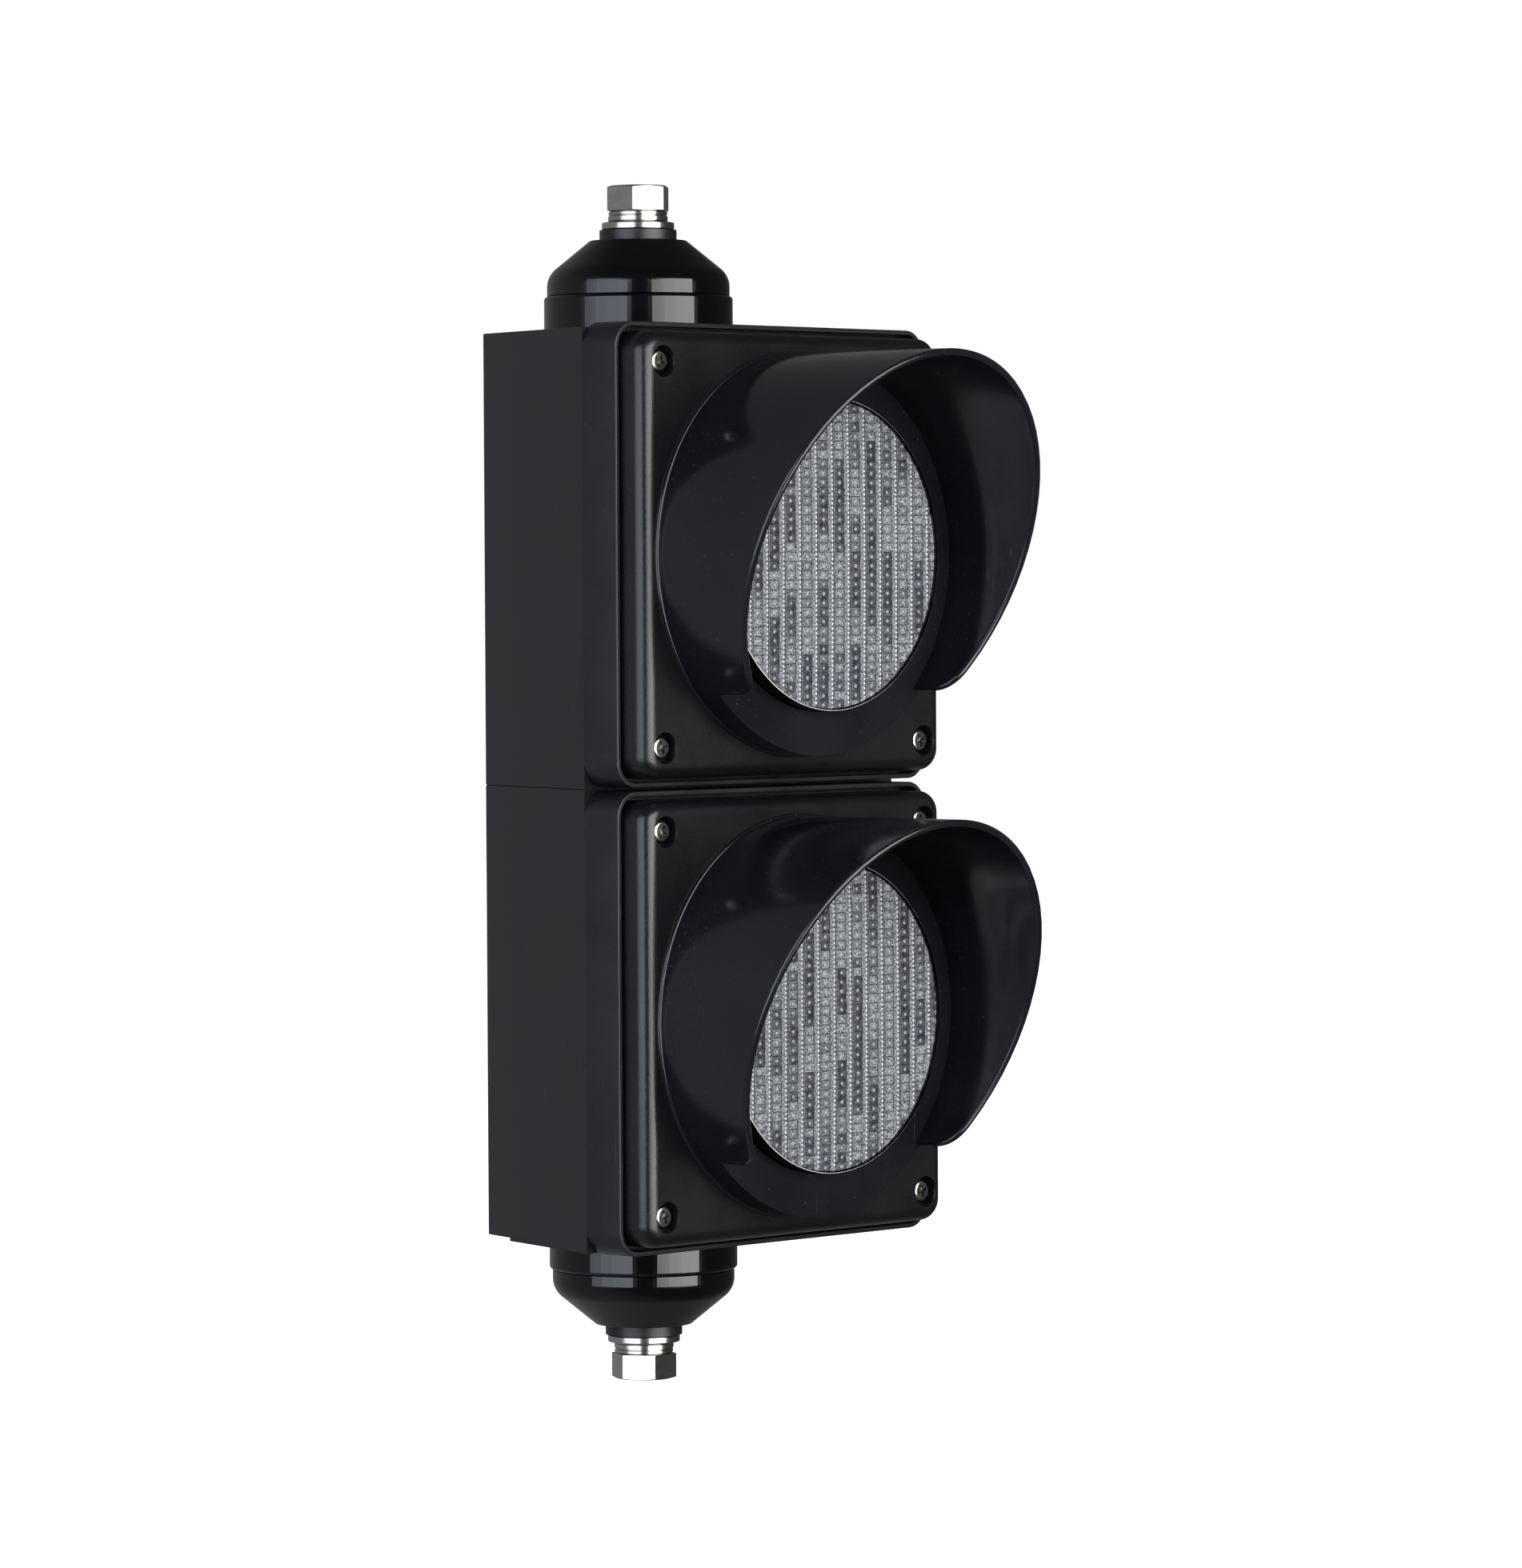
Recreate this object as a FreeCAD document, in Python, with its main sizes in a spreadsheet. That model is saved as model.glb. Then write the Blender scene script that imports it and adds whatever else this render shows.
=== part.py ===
import FreeCAD, Part
import math
import os

import Sketcher

# Two-aspect pedestrian signal head, 100 mm lenses, held top and bottom by M12 bolts.
#
# Row frame: +Z is up along the swivel axis and -Y is the way the lenses face. The origin is on
# the swivel axis, half-way up the proud part of the lower bush. Each module is drawn once:
#   module frame: the row's axes, with z counted outwards from the seam between the modules
#   front frame:  x to the right, y up, z forward from the housing's rim, centred on the lens

doc = FreeCAD.newDocument("PedestrianSignal")
sheet = doc.addObject("Spreadsheet::Sheet", "Dims")

DIMENSIONS = (
    # housing, module frame
    ("HalfPitch", 75.0, "lens axis above the seam"),
    ("RimReach", 61.0, "rim plane forward of the swivel axis"),
    ("FrontWide", 146.5, "width of the front part"),
    ("FrontLow", 0.6, "lower edge of the front part above the seam"),
    ("FrontTall", 149.0, "height of the front part"),
    ("FrontDeep", 15.0, "depth of the front part"),
    ("FrontCorner", 8.0, "corner radius of the front part"),
    ("RearTall", 148.0, "height of the rear part"),
    ("SlantEnd", 17.6, "y where the slanted side ends"),
    ("SlantHalf", 55.0, "half width where the slanted side ends"),
    ("BackReach", 34.0, "y of the back wall"),
    ("BackHalf", 33.0, "half width of the back wall"),
    ("Wall", 3.0, "housing wall"),
    ("LipWall", 2.4, "rim lip"),
    ("LedgeDeep", 7.0, "gasket ledge behind the rim"),
    ("LedgeWide", 4.6, "width of the ledge"),
    ("PadHigh", 1.0, "seat pad on the lower housing"),
    ("PadRelief", 3.5, "y where the pad ends at the sides"),
    ("BossRad", 5.5, "screw boss radius"),
    ("BossLong", 18.0, "screw boss length"),
    ("BossHole", 2.05, "screw boss bore radius"),
    ("ScrewPitch", 123.3, "cover screw spacing, both ways"),
    ("BoltHole", 6.25, "clearance hole radius for M12"),
    ("CableHole", 12.0, "cable passage radius in the seam walls"),
    ("CableBack", -8.0, "y of the cable passage"),
    # cover and lens, front frame
    ("CoverWide", 140.0, "cover width"),
    ("CoverTall", 143.2, "cover height"),
    ("CoverCorner", 7.5, "cover corner radius"),
    ("CoverFace", 10.0, "cover face forward of the rim"),
    ("CoverFoot", 5.0, "cover skirt behind the rim"),
    ("CoverWall", 3.0, "cover plate and skirt thickness"),
    ("CoverRound", 4.0, "radius of the cover's front edge"),
    ("CoverMouth", 54.5, "radius of the lamp opening"),
    ("PostRad", 7.0, "screw post radius"),
    ("SinkRad", 5.1, "screw counterbore radius"),
    ("SinkFloor", 5.5, "counterbore floor forward of the rim"),
    ("ScrewClear", 2.2, "screw hole radius in the cover"),
    ("ScrewRad", 2.0, "cover screw shank radius"),
    ("ScrewTip", 19.0, "screw tip behind the rim"),
    ("HeadRad", 3.9, "screw head radius"),
    ("HeadHigh", 2.4, "screw head height"),
    ("SealThick", 0.6, "screw seal thickness"),
    ("VisorRad", 65.2, "visor outer radius"),
    ("VisorWall", 2.3, "visor wall"),
    ("VisorFoot", 10.05, "visor foot forward of the rim"),
    ("ShelfFace", 20.4, "front of the visor's ring shelf"),
    ("ShelfThick", 2.4, "thickness of the ring shelf"),
    ("ShelfHole", 51.0, "hole in the ring shelf"),
    ("VisorMid", 53.4, "visor reach at the height of the lens axis"),
    ("VisorRake", 0.407, "extra reach per unit of height"),
    ("VisorDrop", 44.8, "how far below the lens axis the visor's sides end"),
    ("VisorTip", 10.0, "radius of the visor's lower corners"),
    ("LensRad", 50.6, "lens radius"),
    ("LensEdge", 26.5, "lens rim forward of the housing's rim"),
    ("LensSag", 4.0, "height of the lens dome"),
    ("LensWall", 2.5, "lens thickness"),
    ("LensFlange", 56.2, "lens flange radius"),
    ("FlangeFace", 17.9, "front of the lens flange"),
    ("FlangeBack", 15.4, "back of the lens flange"),
    ("LampFlange", 62.0, "lamp case flange radius"),
    ("LampFace", 13.9, "front of the lamp case flange"),
    ("LampRad", 52.5, "lamp case radius"),
    ("LampStep", 10.5, "step of the lamp case behind the rim"),
    ("LampSmall", 46.5, "lamp case radius behind the step"),
    ("LampBack", 24.5, "back of the lamp case behind the rim"),
    ("LampWall", 2.5, "lamp case wall"),
    ("PatternRad", 48.0, "patterned lens radius"),
    ("PatternFace", 24.0, "front of the patterned lens, bonded behind the clear one"),
    ("PatternThick", 3.0, "patterned lens thickness"),
    ("BoardThick", 1.6, "circuit board thickness"),
    ("BoardRise", 3.0, "height and width of the ledge that carries the driver board"),
    ("LedPitch", 13.5, "spacing of the LED rings"),
    ("LedRad", 2.5, "LED radius"),
    ("LedHigh", 7.2, "LED height"),
    ("VisorScrewRing", 59.7, "visor screw circle radius"),
    ("VisorScrewRad", 1.5, "visor screw shank radius"),
    ("VisorScrewHead", 2.8, "visor screw head radius"),
    ("VisorScrewHigh", 2.0, "visor screw head height"),
    ("VisorScrewTip", 18.4, "visor screw tip forward of the rim"),
    # fittings, counted outwards from the seat on the housing
    ("CollarRad", 31.3, "collar radius"),
    ("CollarHigh", 13.0, "collar height"),
    ("CollarWall", 4.0, "collar wall"),
    ("HubRad", 13.5, "collar hub radius"),
    ("HubBore", 9.05, "collar hub bore radius"),
    ("RunGap", 0.1, "gap between faces that turn on each other"),
    ("DomeRad", 30.3, "dome cap radius"),
    ("DomeHigh", 18.4, "dome cap height"),
    ("DomeTop", 16.0, "dome cap top radius"),
    ("DomeRim", 3.0, "straight part of the dome cap"),
    ("DomeRound", 7.8, "shoulder radius of the dome cap"),
    ("DomeWall", 3.0, "dome cap wall"),
    ("BushRad", 12.8, "proud bush radius"),
    ("BushProud", 3.5, "bush height above the dome cap"),
    ("BushSpigot", 9.0, "bush spigot radius"),
    ("BushSink", 0.5, "how deep the bush's flange sits in the dome cap"),
    ("BushFoot", 12.6, "radius of the flange below the dome cap's top"),
    ("SinkRing", 12.9, "radius of the recess for the bush's flange"),
    ("BushBore", 6.05, "bush bore radius"),
    ("FlatRad", 12.0, "flat washer radius"),
    ("FlatThick", 2.4, "flat washer thickness"),
    ("SpringRad", 10.0, "spring washer radius"),
    ("SpringHigh", 3.8, "spring washer height"),
    ("HexFlats", 19.0, "across flats of bolt and nut"),
    ("HexHigh", 8.4, "bolt head height"),
    ("BoltRad", 6.0, "M12 shank radius"),
    ("BoltLong", 60.0, "bolt length under the head"),
    ("NutHigh", 10.0, "nut height"),
    ("PlateWide", 52.0, "clamp plate width"),
    ("PlateDeep", 44.0, "clamp plate depth"),
    ("PlateThick", 3.0, "clamp plate thickness"),
    # seam and cable
    ("TieHoleX", 44.0, "tie bolt x"),
    ("TieFront", -32.0, "front tie bolt y"),
    ("TieRear", 10.0, "rear tie bolt y"),
    ("TieRad", 2.5, "tie bolt radius"),
    ("TieNutFlats", 8.0, "tie bolt head and nut across flats"),
    ("TieNutHigh", 4.0, "tie bolt head and nut height"),
    ("GlandHeight", 40.0, "gland distance from the seam"),
    ("GlandRad", 8.0, "gland thread radius"),
    ("GlandFlats", 19.0, "gland hexagon across flats"),
    ("GlandBore", 4.0, "cable bore radius"),
)


ALIASES = {entry[0] for entry in DIMENSIONS}


def fill_sheet():
    for row, (alias, value, note) in enumerate(DIMENSIONS, start=1):
        sheet.set(f"A{row}", note)
        sheet.set(f"B{row}", str(value))
        sheet.setAlias(f"B{row}", alias)


fill_sheet()
doc.recompute()


def dim(expression):
    """Value of an expression written in the sheet's aliases."""
    return float(sheet.evalExpression(expression))


# ---------------------------------------------------------------- places

X_AXIS = FreeCAD.Vector(1, 0, 0)
Y_AXIS = FreeCAD.Vector(0, 1, 0)
Z_AXIS = FreeCAD.Vector(0, 0, 1)
STACK_TO_PIVOT = dim("CollarHigh + RunGap + DomeHigh + BushProud / 2")
SEAM_Z = dim("RearTall + PadHigh") + STACK_TO_PIVOT


def module_place(lower):
    """Module frame in the row: the lower module is the upper one turned over about Y."""
    turn = FreeCAD.Rotation(Y_AXIS, 180) if lower else FreeCAD.Rotation()
    return FreeCAD.Placement(FreeCAD.Vector(0, 0, SEAM_Z), turn)


def front_place(lower):
    """Front frame in the row."""
    side = -1 if lower else 1
    centre = FreeCAD.Vector(0, -dim("RimReach"), SEAM_Z + side * dim("HalfPitch"))
    return FreeCAD.Placement(centre, FreeCAD.Rotation(X_AXIS, 90))


def seat_place(lower):
    """Frame of a fitting: z runs outwards along the swivel axis from its seat on the housing."""
    seat = dim("RearTall") + (dim("PadHigh") if lower else 0)
    return module_place(lower).multiply(FreeCAD.Placement(FreeCAD.Vector(0, 0, seat), FreeCAD.Rotation()))


# ---------------------------------------------------------------- sketch helpers

LABELS = []


def new_body(label, place):
    body = doc.addObject("PartDesign::Body", label)
    body.Label = label
    body.Placement = place
    LABELS.append(label)
    return body


def origin_plane(body, role):
    return next(item for item in body.Origin.OriginFeatures if item.Role == role)


def new_sketch(body, role="XY_Plane", rise="0"):
    """Empty sketch on an origin plane of the body, raised along the plane's normal."""
    sketch = body.newObject("Sketcher::SketchObject", body.Label + "_sketch")
    sketch.AttachmentSupport = [(origin_plane(body, role), "")]
    sketch.MapMode = "FlatFace"
    sketch.setExpression("AttachmentOffset.Base.z", dims_expression(rise))
    return sketch


def dims_expression(text):
    """Prefix every alias in an expression with the sheet's name."""
    words = []
    word = ""
    for letter in text + " ":
        if letter.isalnum() or letter == "_":
            word += letter
            continue
        words.append(f"Dims.{word}" if word in ALIASES else word)
        words.append(letter)
        word = ""
    return "".join(words).strip()


def pin_point(sketch, geometry, corner, x, y):
    """Hold one point of the sketch at (x, y), each an expression in the sheet's aliases."""
    for kind, text, axis in (("DistanceX", x, -2), ("DistanceY", y, -1)):
        value = dim(text)
        if abs(value) < 1e-9:
            sketch.addConstraint(Sketcher.Constraint("PointOnObject", geometry, corner, axis))
            continue
        ends = (-1, 1, geometry, corner) if value > 0 else (geometry, corner, -1, 1)
        index = sketch.addConstraint(Sketcher.Constraint(kind, *ends, abs(value)))
        sign = "" if value > 0 else "-"
        sketch.setExpression(f"Constraints[{index}]", f"{sign}({dims_expression(text)})")


def size_constraint(sketch, kind, geometry, text):
    index = sketch.addConstraint(Sketcher.Constraint(kind, geometry, dim(text)))
    sketch.setExpression(f"Constraints[{index}]", dims_expression(text))


def add_circle(sketch, radius, x="0", y="0"):
    centre = FreeCAD.Vector(dim(x), dim(y), 0)
    index = sketch.addGeometry(Part.Circle(centre, Z_AXIS, dim(radius)))
    pin_point(sketch, index, 3, x, y)
    size_constraint(sketch, "Radius", index, radius)


def add_polygon(sketch, corners):
    """Closed outline of straight edges, each corner a pair of expressions."""
    points = [FreeCAD.Vector(dim(x), dim(y), 0) for x, y in corners]
    first = sketch.GeometryCount
    for start, end in zip(points, points[1:] + points[:1]):
        sketch.addGeometry(Part.LineSegment(start, end))
    count = len(corners)
    for step in range(count):
        joined = first + (step + 1) % count
        sketch.addConstraint(Sketcher.Constraint("Coincident", first + step, 2, joined, 1))
    for step, (x, y) in enumerate(corners):
        pin_point(sketch, first + step, 1, x, y)


def add_rounded(sketch, wide, tall, radius, x="0", y="0"):
    """Rectangle with rounded corners, centred on (x, y)."""
    half_wide, half_tall, round_off = dim(wide) / 2, dim(tall) / 2, dim(radius)
    centre = FreeCAD.Vector(dim(x), dim(y), 0)
    first = sketch.GeometryCount
    for step in range(4):
        angle = step * math.pi / 2
        along = FreeCAD.Vector(-math.sin(angle), math.cos(angle), 0)
        out = FreeCAD.Vector(math.cos(angle), math.sin(angle), 0)
        reach, run = (half_wide, half_tall) if step % 2 == 0 else (half_tall, half_wide)
        start = centre + out * reach - along * (run - round_off)
        end = centre + out * reach + along * (run - round_off)
        sketch.addGeometry(Part.LineSegment(start, end))
        corner = end - out * round_off
        circle = Part.Circle(corner, Z_AXIS, round_off)
        sketch.addGeometry(Part.ArcOfCircle(circle, angle, angle + math.pi / 2))
    for step in range(4):
        line, arc, following = first + 2 * step, first + 2 * step + 1, first + (2 * step + 2) % 8
        sketch.addConstraint(Sketcher.Constraint("Tangent", line, 2, arc, 1))
        sketch.addConstraint(Sketcher.Constraint("Tangent", arc, 2, following, 1))
        upright = "Vertical" if step % 2 == 0 else "Horizontal"
        sketch.addConstraint(Sketcher.Constraint(upright, line))
        if step:
            sketch.addConstraint(Sketcher.Constraint("Equal", first + 1, arc))
    size_constraint(sketch, "Radius", first + 1, radius)
    pin_point(sketch, first + 3, 3, f"{x} - {wide} / 2 + {radius}", f"{y} + {tall} / 2 - {radius}")
    pin_point(sketch, first + 7, 3, f"{x} + {wide} / 2 - {radius}", f"{y} - {tall} / 2 + {radius}")


def pad(body, sketch, length, reverse=False):
    feature = body.newObject("PartDesign::Pad", body.Label + "_pad")
    feature.Profile = sketch
    feature.setExpression("Length", dims_expression(length))
    feature.Reversed = reverse
    sketch.Visibility = False
    return feature


def pocket(body, sketch, length=None, reverse=False, both=False):
    """Cut towards the sketch's back, or its front when reversed; no length cuts right through."""
    doc.recompute()
    before = body.Shape.Volume
    feature = body.newObject("PartDesign::Pocket", body.Label + "_pocket")
    feature.Profile = sketch
    if length is None:
        feature.Type = "ThroughAll"
    else:
        feature.setExpression("Length", dims_expression(length))
    feature.Midplane = both
    feature.Reversed = reverse
    doc.recompute()
    if body.Shape.Volume > before - 1e-3:
        raise RuntimeError(f"{body.Label}: a pocket cut nothing")
    return feature


def revolve(body, sketch):
    """Full turn about the sketch's upright axis."""
    feature = body.newObject("PartDesign::Revolution", body.Label + "_turn")
    feature.Profile = sketch
    feature.ReferenceAxis = (sketch, ["V_Axis"])
    feature.Angle = 360
    return feature


def edges_where(shape, test):
    return [f"Edge{number}" for number, edge in enumerate(shape.Edges, start=1) if test(edge)]


def dress(body, kind, size, test):
    """Fillet or chamfer on the edges of the body's tip that pass a test."""
    doc.recompute()
    tip = body.Tip
    names = edges_where(tip.Shape, test)
    if not names:
        raise RuntimeError(f"{body.Label}: no edge to dress")
    feature = body.newObject(f"PartDesign::{kind}", f"{body.Label}_{kind.lower()}")
    feature.Base = (tip, names)
    feature.setExpression("Radius" if kind == "Fillet" else "Size", dims_expression(size))
    return feature


def flat_at(edge, height, axis="z"):
    """True for an edge that lies in the plane where the axis has the given value."""
    box = edge.BoundBox
    low, high = getattr(box, axis.upper() + "Min"), getattr(box, axis.upper() + "Max")
    return abs(low - height) < 1e-4 and abs(high - height) < 1e-4


def ring_at(edge, radius, height):
    """True for a full circle of this radius round the body's own z axis."""
    curve = edge.Curve
    return (isinstance(curve, Part.Circle) and abs(curve.Radius - radius) < 1e-4
            and abs(curve.Center.z - height) < 1e-4)


def turned_body(label, place, corners):
    """Piece turned about its own z axis: corners are pairs of radius and height."""
    body = new_body(label, place)
    sketch = new_sketch(body, "XZ_Plane")
    add_polygon(sketch, corners)
    revolve(body, sketch)
    return body


def add_feature(label, shape, place):
    """Sub-part whose shape is worked out from the sheet."""
    item = doc.addObject("Part::Feature", label)
    item.Label = label
    item.Shape = shape
    item.Placement = place
    LABELS.append(label)
    return item


def hex_prism(flats, height, base=0.0, turn=0.0):
    """Hexagonal prism along z, its first flat facing the angle turn, in degrees."""
    reach = flats / math.sqrt(3)
    corners = [FreeCAD.Vector(reach * math.cos(math.radians(turn + 30 + 60 * step)),
                              reach * math.sin(math.radians(turn + 30 + 60 * step)), base)
               for step in range(7)]
    return Part.Face(Part.makePolygon(corners)).extrude(FreeCAD.Vector(0, 0, height))


def cylinder(radius, height, x=0.0, y=0.0, base=0.0):
    return Part.makeCylinder(radius, height, FreeCAD.Vector(x, y, base))


def screw_corners():
    """Cover screw places in the front frame."""
    half = dim("ScrewPitch") / 2
    return [(sx * half, sy * half) for sx in (-1, 1) for sy in (-1, 1)]


# ---------------------------------------------------------------- housings

def plan_outline(inset):
    """Plan of the housing, its walls moved inwards by an expression."""
    front = "FrontDeep - RimReach"
    right = [(f"FrontWide / 2 - {inset}", front),
             (f"SlantHalf - {inset}", "SlantEnd"),
             (f"BackHalf - {inset} / 2", f"BackReach - {inset}")]
    left = [(f"-({x})", y) for x, y in reversed(right)]
    return right + left


def make_housing(label, lower):
    body = new_body(label, module_place(lower))
    # rear part: a slanted box whose flat ends meet at the seam
    sketch = new_sketch(body)
    add_polygon(sketch, plan_outline("0"))
    pad(body, sketch, "RearTall")
    # front part: rounded corners, standing a little clear of the other module's
    sketch = new_sketch(body, "XZ_Plane", "RimReach")
    add_rounded(sketch, "FrontWide", "FrontTall", "FrontCorner", y="(FrontLow + FrontTall / 2)")
    pad(body, sketch, "FrontDeep", reverse=True)
    if lower:
        add_seat_pad(body)
    # chamber
    sketch = new_sketch(body, rise="Wall")
    add_polygon(sketch, plan_outline("Wall"))
    pocket(body, sketch, "RearTall - 2 * Wall", reverse=True)
    # rim recess and the opening through the ledge
    middle = "(FrontLow + FrontTall / 2)"
    lip = "2 * LipWall"
    sketch = new_sketch(body, "XZ_Plane", "RimReach")
    add_rounded(sketch, f"(FrontWide - {lip})", f"(FrontTall - {lip})", "(FrontCorner - LipWall)", y=middle)
    pocket(body, sketch, "LedgeDeep")
    step = "2 * (LipWall + LedgeWide)"
    sketch = new_sketch(body, "XZ_Plane", "RimReach")
    add_rounded(sketch, f"(FrontWide - {step})", f"(FrontTall - {step})", "FrontCorner", y=middle)
    pocket(body, sketch, "FrontDeep + 1")
    # cover screw bosses on the ledge
    sketch = new_sketch(body, "XZ_Plane", "(RimReach - LedgeDeep)")
    add_screw_circles(sketch, "BossRad", "HalfPitch")
    pad(body, sketch, "BossLong", reverse=True)
    sketch = new_sketch(body, "XZ_Plane", "(RimReach - LedgeDeep)")
    add_screw_circles(sketch, "BossHole", "HalfPitch")
    pocket(body, sketch, "BossLong - 3")
    # bolt hole in the outer end, cable passage and tie holes in the seam wall
    sketch = new_sketch(body, rise="RearTall + 5")
    add_circle(sketch, "BoltHole")
    pocket(body, sketch, "15")
    sketch = new_sketch(body, rise="Wall")
    add_circle(sketch, "CableHole", y="CableBack")
    for x, y in tie_places():
        add_circle(sketch, "TieRad + 0.1", x, y)
    pocket(body, sketch, "Wall + 1")
    if lower:
        sketch = new_sketch(body, "XZ_Plane", "-BackReach")
        add_circle(sketch, "GlandRad + 0.1", y="GlandHeight")
        pocket(body, sketch, "Wall + 1", reverse=True)
    return body


def add_seat_pad(body):
    """Raised seat on the lower housing, which stops short of the rear corners."""
    sketch = new_sketch(body, rise="RearTall")
    slant = "(FrontWide / 2 - SlantHalf) / (SlantEnd - FrontDeep + RimReach)"
    at_relief = f"(SlantHalf + (SlantEnd - PadRelief) * {slant})"
    right = [("FrontWide / 2", "FrontDeep - RimReach"), (at_relief, "PadRelief"),
             ("CollarRad + 3", "PadRelief"), ("CollarRad + 3", "BackReach - 1")]
    add_polygon(sketch, right + [(f"-({x})", y) for x, y in reversed(right)])
    pad(body, sketch, "PadHigh")


def add_screw_circles(sketch, radius, middle="0"):
    for side in ("-", ""):
        for rise in ("-", "+"):
            add_circle(sketch, radius, f"{side}ScrewPitch / 2", f"{middle} {rise} ScrewPitch / 2")


def tie_places():
    return [(x, y) for x in ("-TieHoleX", "TieHoleX") for y in ("TieFront", "TieRear")]


def make_cover_gasket(label, lower):
    """Flat rubber ring on the ledge, under the cover's skirt."""
    body = new_body(label, front_place(lower))
    sketch = new_sketch(body, rise="-LedgeDeep")
    add_rounded(sketch, "(CoverWide + 0.6)", "(CoverTall + 0.6)", "CoverCorner")
    add_rounded(sketch, "(CoverWide - 2 * CoverWall)", "(CoverTall - 2 * CoverWall)", "(CoverCorner - 2)")
    pad(body, sketch, "LedgeDeep - CoverFoot - RunGap")
    sketch = new_sketch(body, rise="-CoverFoot")
    add_screw_circles(sketch, "PostRad")
    pocket(body, sketch, "LedgeDeep")
    return body


# ---------------------------------------------------------------- cover and lamp

def make_cover(label, lower):
    body = new_body(label, front_place(lower))
    sketch = new_sketch(body, rise="-CoverFoot")
    add_rounded(sketch, "CoverWide", "CoverTall", "CoverCorner")
    pad(body, sketch, "CoverFoot + CoverFace")
    face = dim("CoverFace")
    dress(body, "Fillet", "CoverRound", lambda edge: flat_at(edge, face))
    sketch = new_sketch(body, rise="CoverFace - CoverWall")
    inner = "2 * CoverWall"
    add_rounded(sketch, f"(CoverWide - {inner})", f"(CoverTall - {inner})", "(CoverCorner - CoverWall)")
    pocket(body, sketch, "CoverFoot + CoverFace")
    sketch = new_sketch(body, rise="-CoverFoot")
    add_screw_circles(sketch, "PostRad - 1.2")
    pad(body, sketch, "CoverFoot + CoverFace - 1")
    sketch = new_sketch(body, rise="CoverFace")
    add_circle(sketch, "CoverMouth")
    pocket(body, sketch)
    sketch = new_sketch(body, rise="CoverFace")
    add_screw_circles(sketch, "SinkRad")
    pocket(body, sketch, "CoverFace - SinkFloor")
    sketch = new_sketch(body, rise="CoverFace")
    add_screw_circles(sketch, "ScrewClear")
    pocket(body, sketch)
    cut_visor_screw_holes(body, "CoverFace", "CoverWall + 1")
    return body


def cut_visor_screw_holes(body, rise, depth, forward=False):
    """Four holes on the visor screw circle, cut backwards from a height or forwards into the foot."""
    sketch = new_sketch(body, rise=rise)
    offset = "VisorScrewRing * sqrt(0.5)"
    for x in (f"-({offset})", f"{offset}"):
        for y in (f"-({offset})", f"{offset}"):
            add_circle(sketch, "(VisorScrewRad + 0.05)", x, y)
    pocket(body, sketch, depth, reverse=forward)


def make_visor(label, lower):
    """Deep hood on a ring shelf, cut back at a slant and open below."""
    body = new_body(label, front_place(lower))
    inner = "(VisorRad - VisorWall)"
    crown = "(VisorMid + VisorRake * VisorRad + 3)"
    sketch = new_sketch(body, "XZ_Plane")
    add_polygon(sketch, [("VisorRad", "VisorFoot"), ("VisorRad", crown), (inner, crown), (inner, "ShelfFace"),
                         ("ShelfHole", "ShelfFace"), ("ShelfHole", "ShelfFace - ShelfThick"),
                         ("LensFlange + 0.3", "ShelfFace - ShelfThick"), ("LensFlange + 0.3", "LampFace + 0.1"),
                         (inner, "LampFace + 0.1"), (inner, "VisorFoot")])
    revolve(body, sketch)
    cut = new_sketch(body, "YZ_Plane")
    add_visor_cut(cut)
    pocket(body, cut, both=True)
    cut_visor_screw_holes(body, "LampFace", "VisorScrewTip - LampFace + 0.1", forward=True)
    return body


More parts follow.
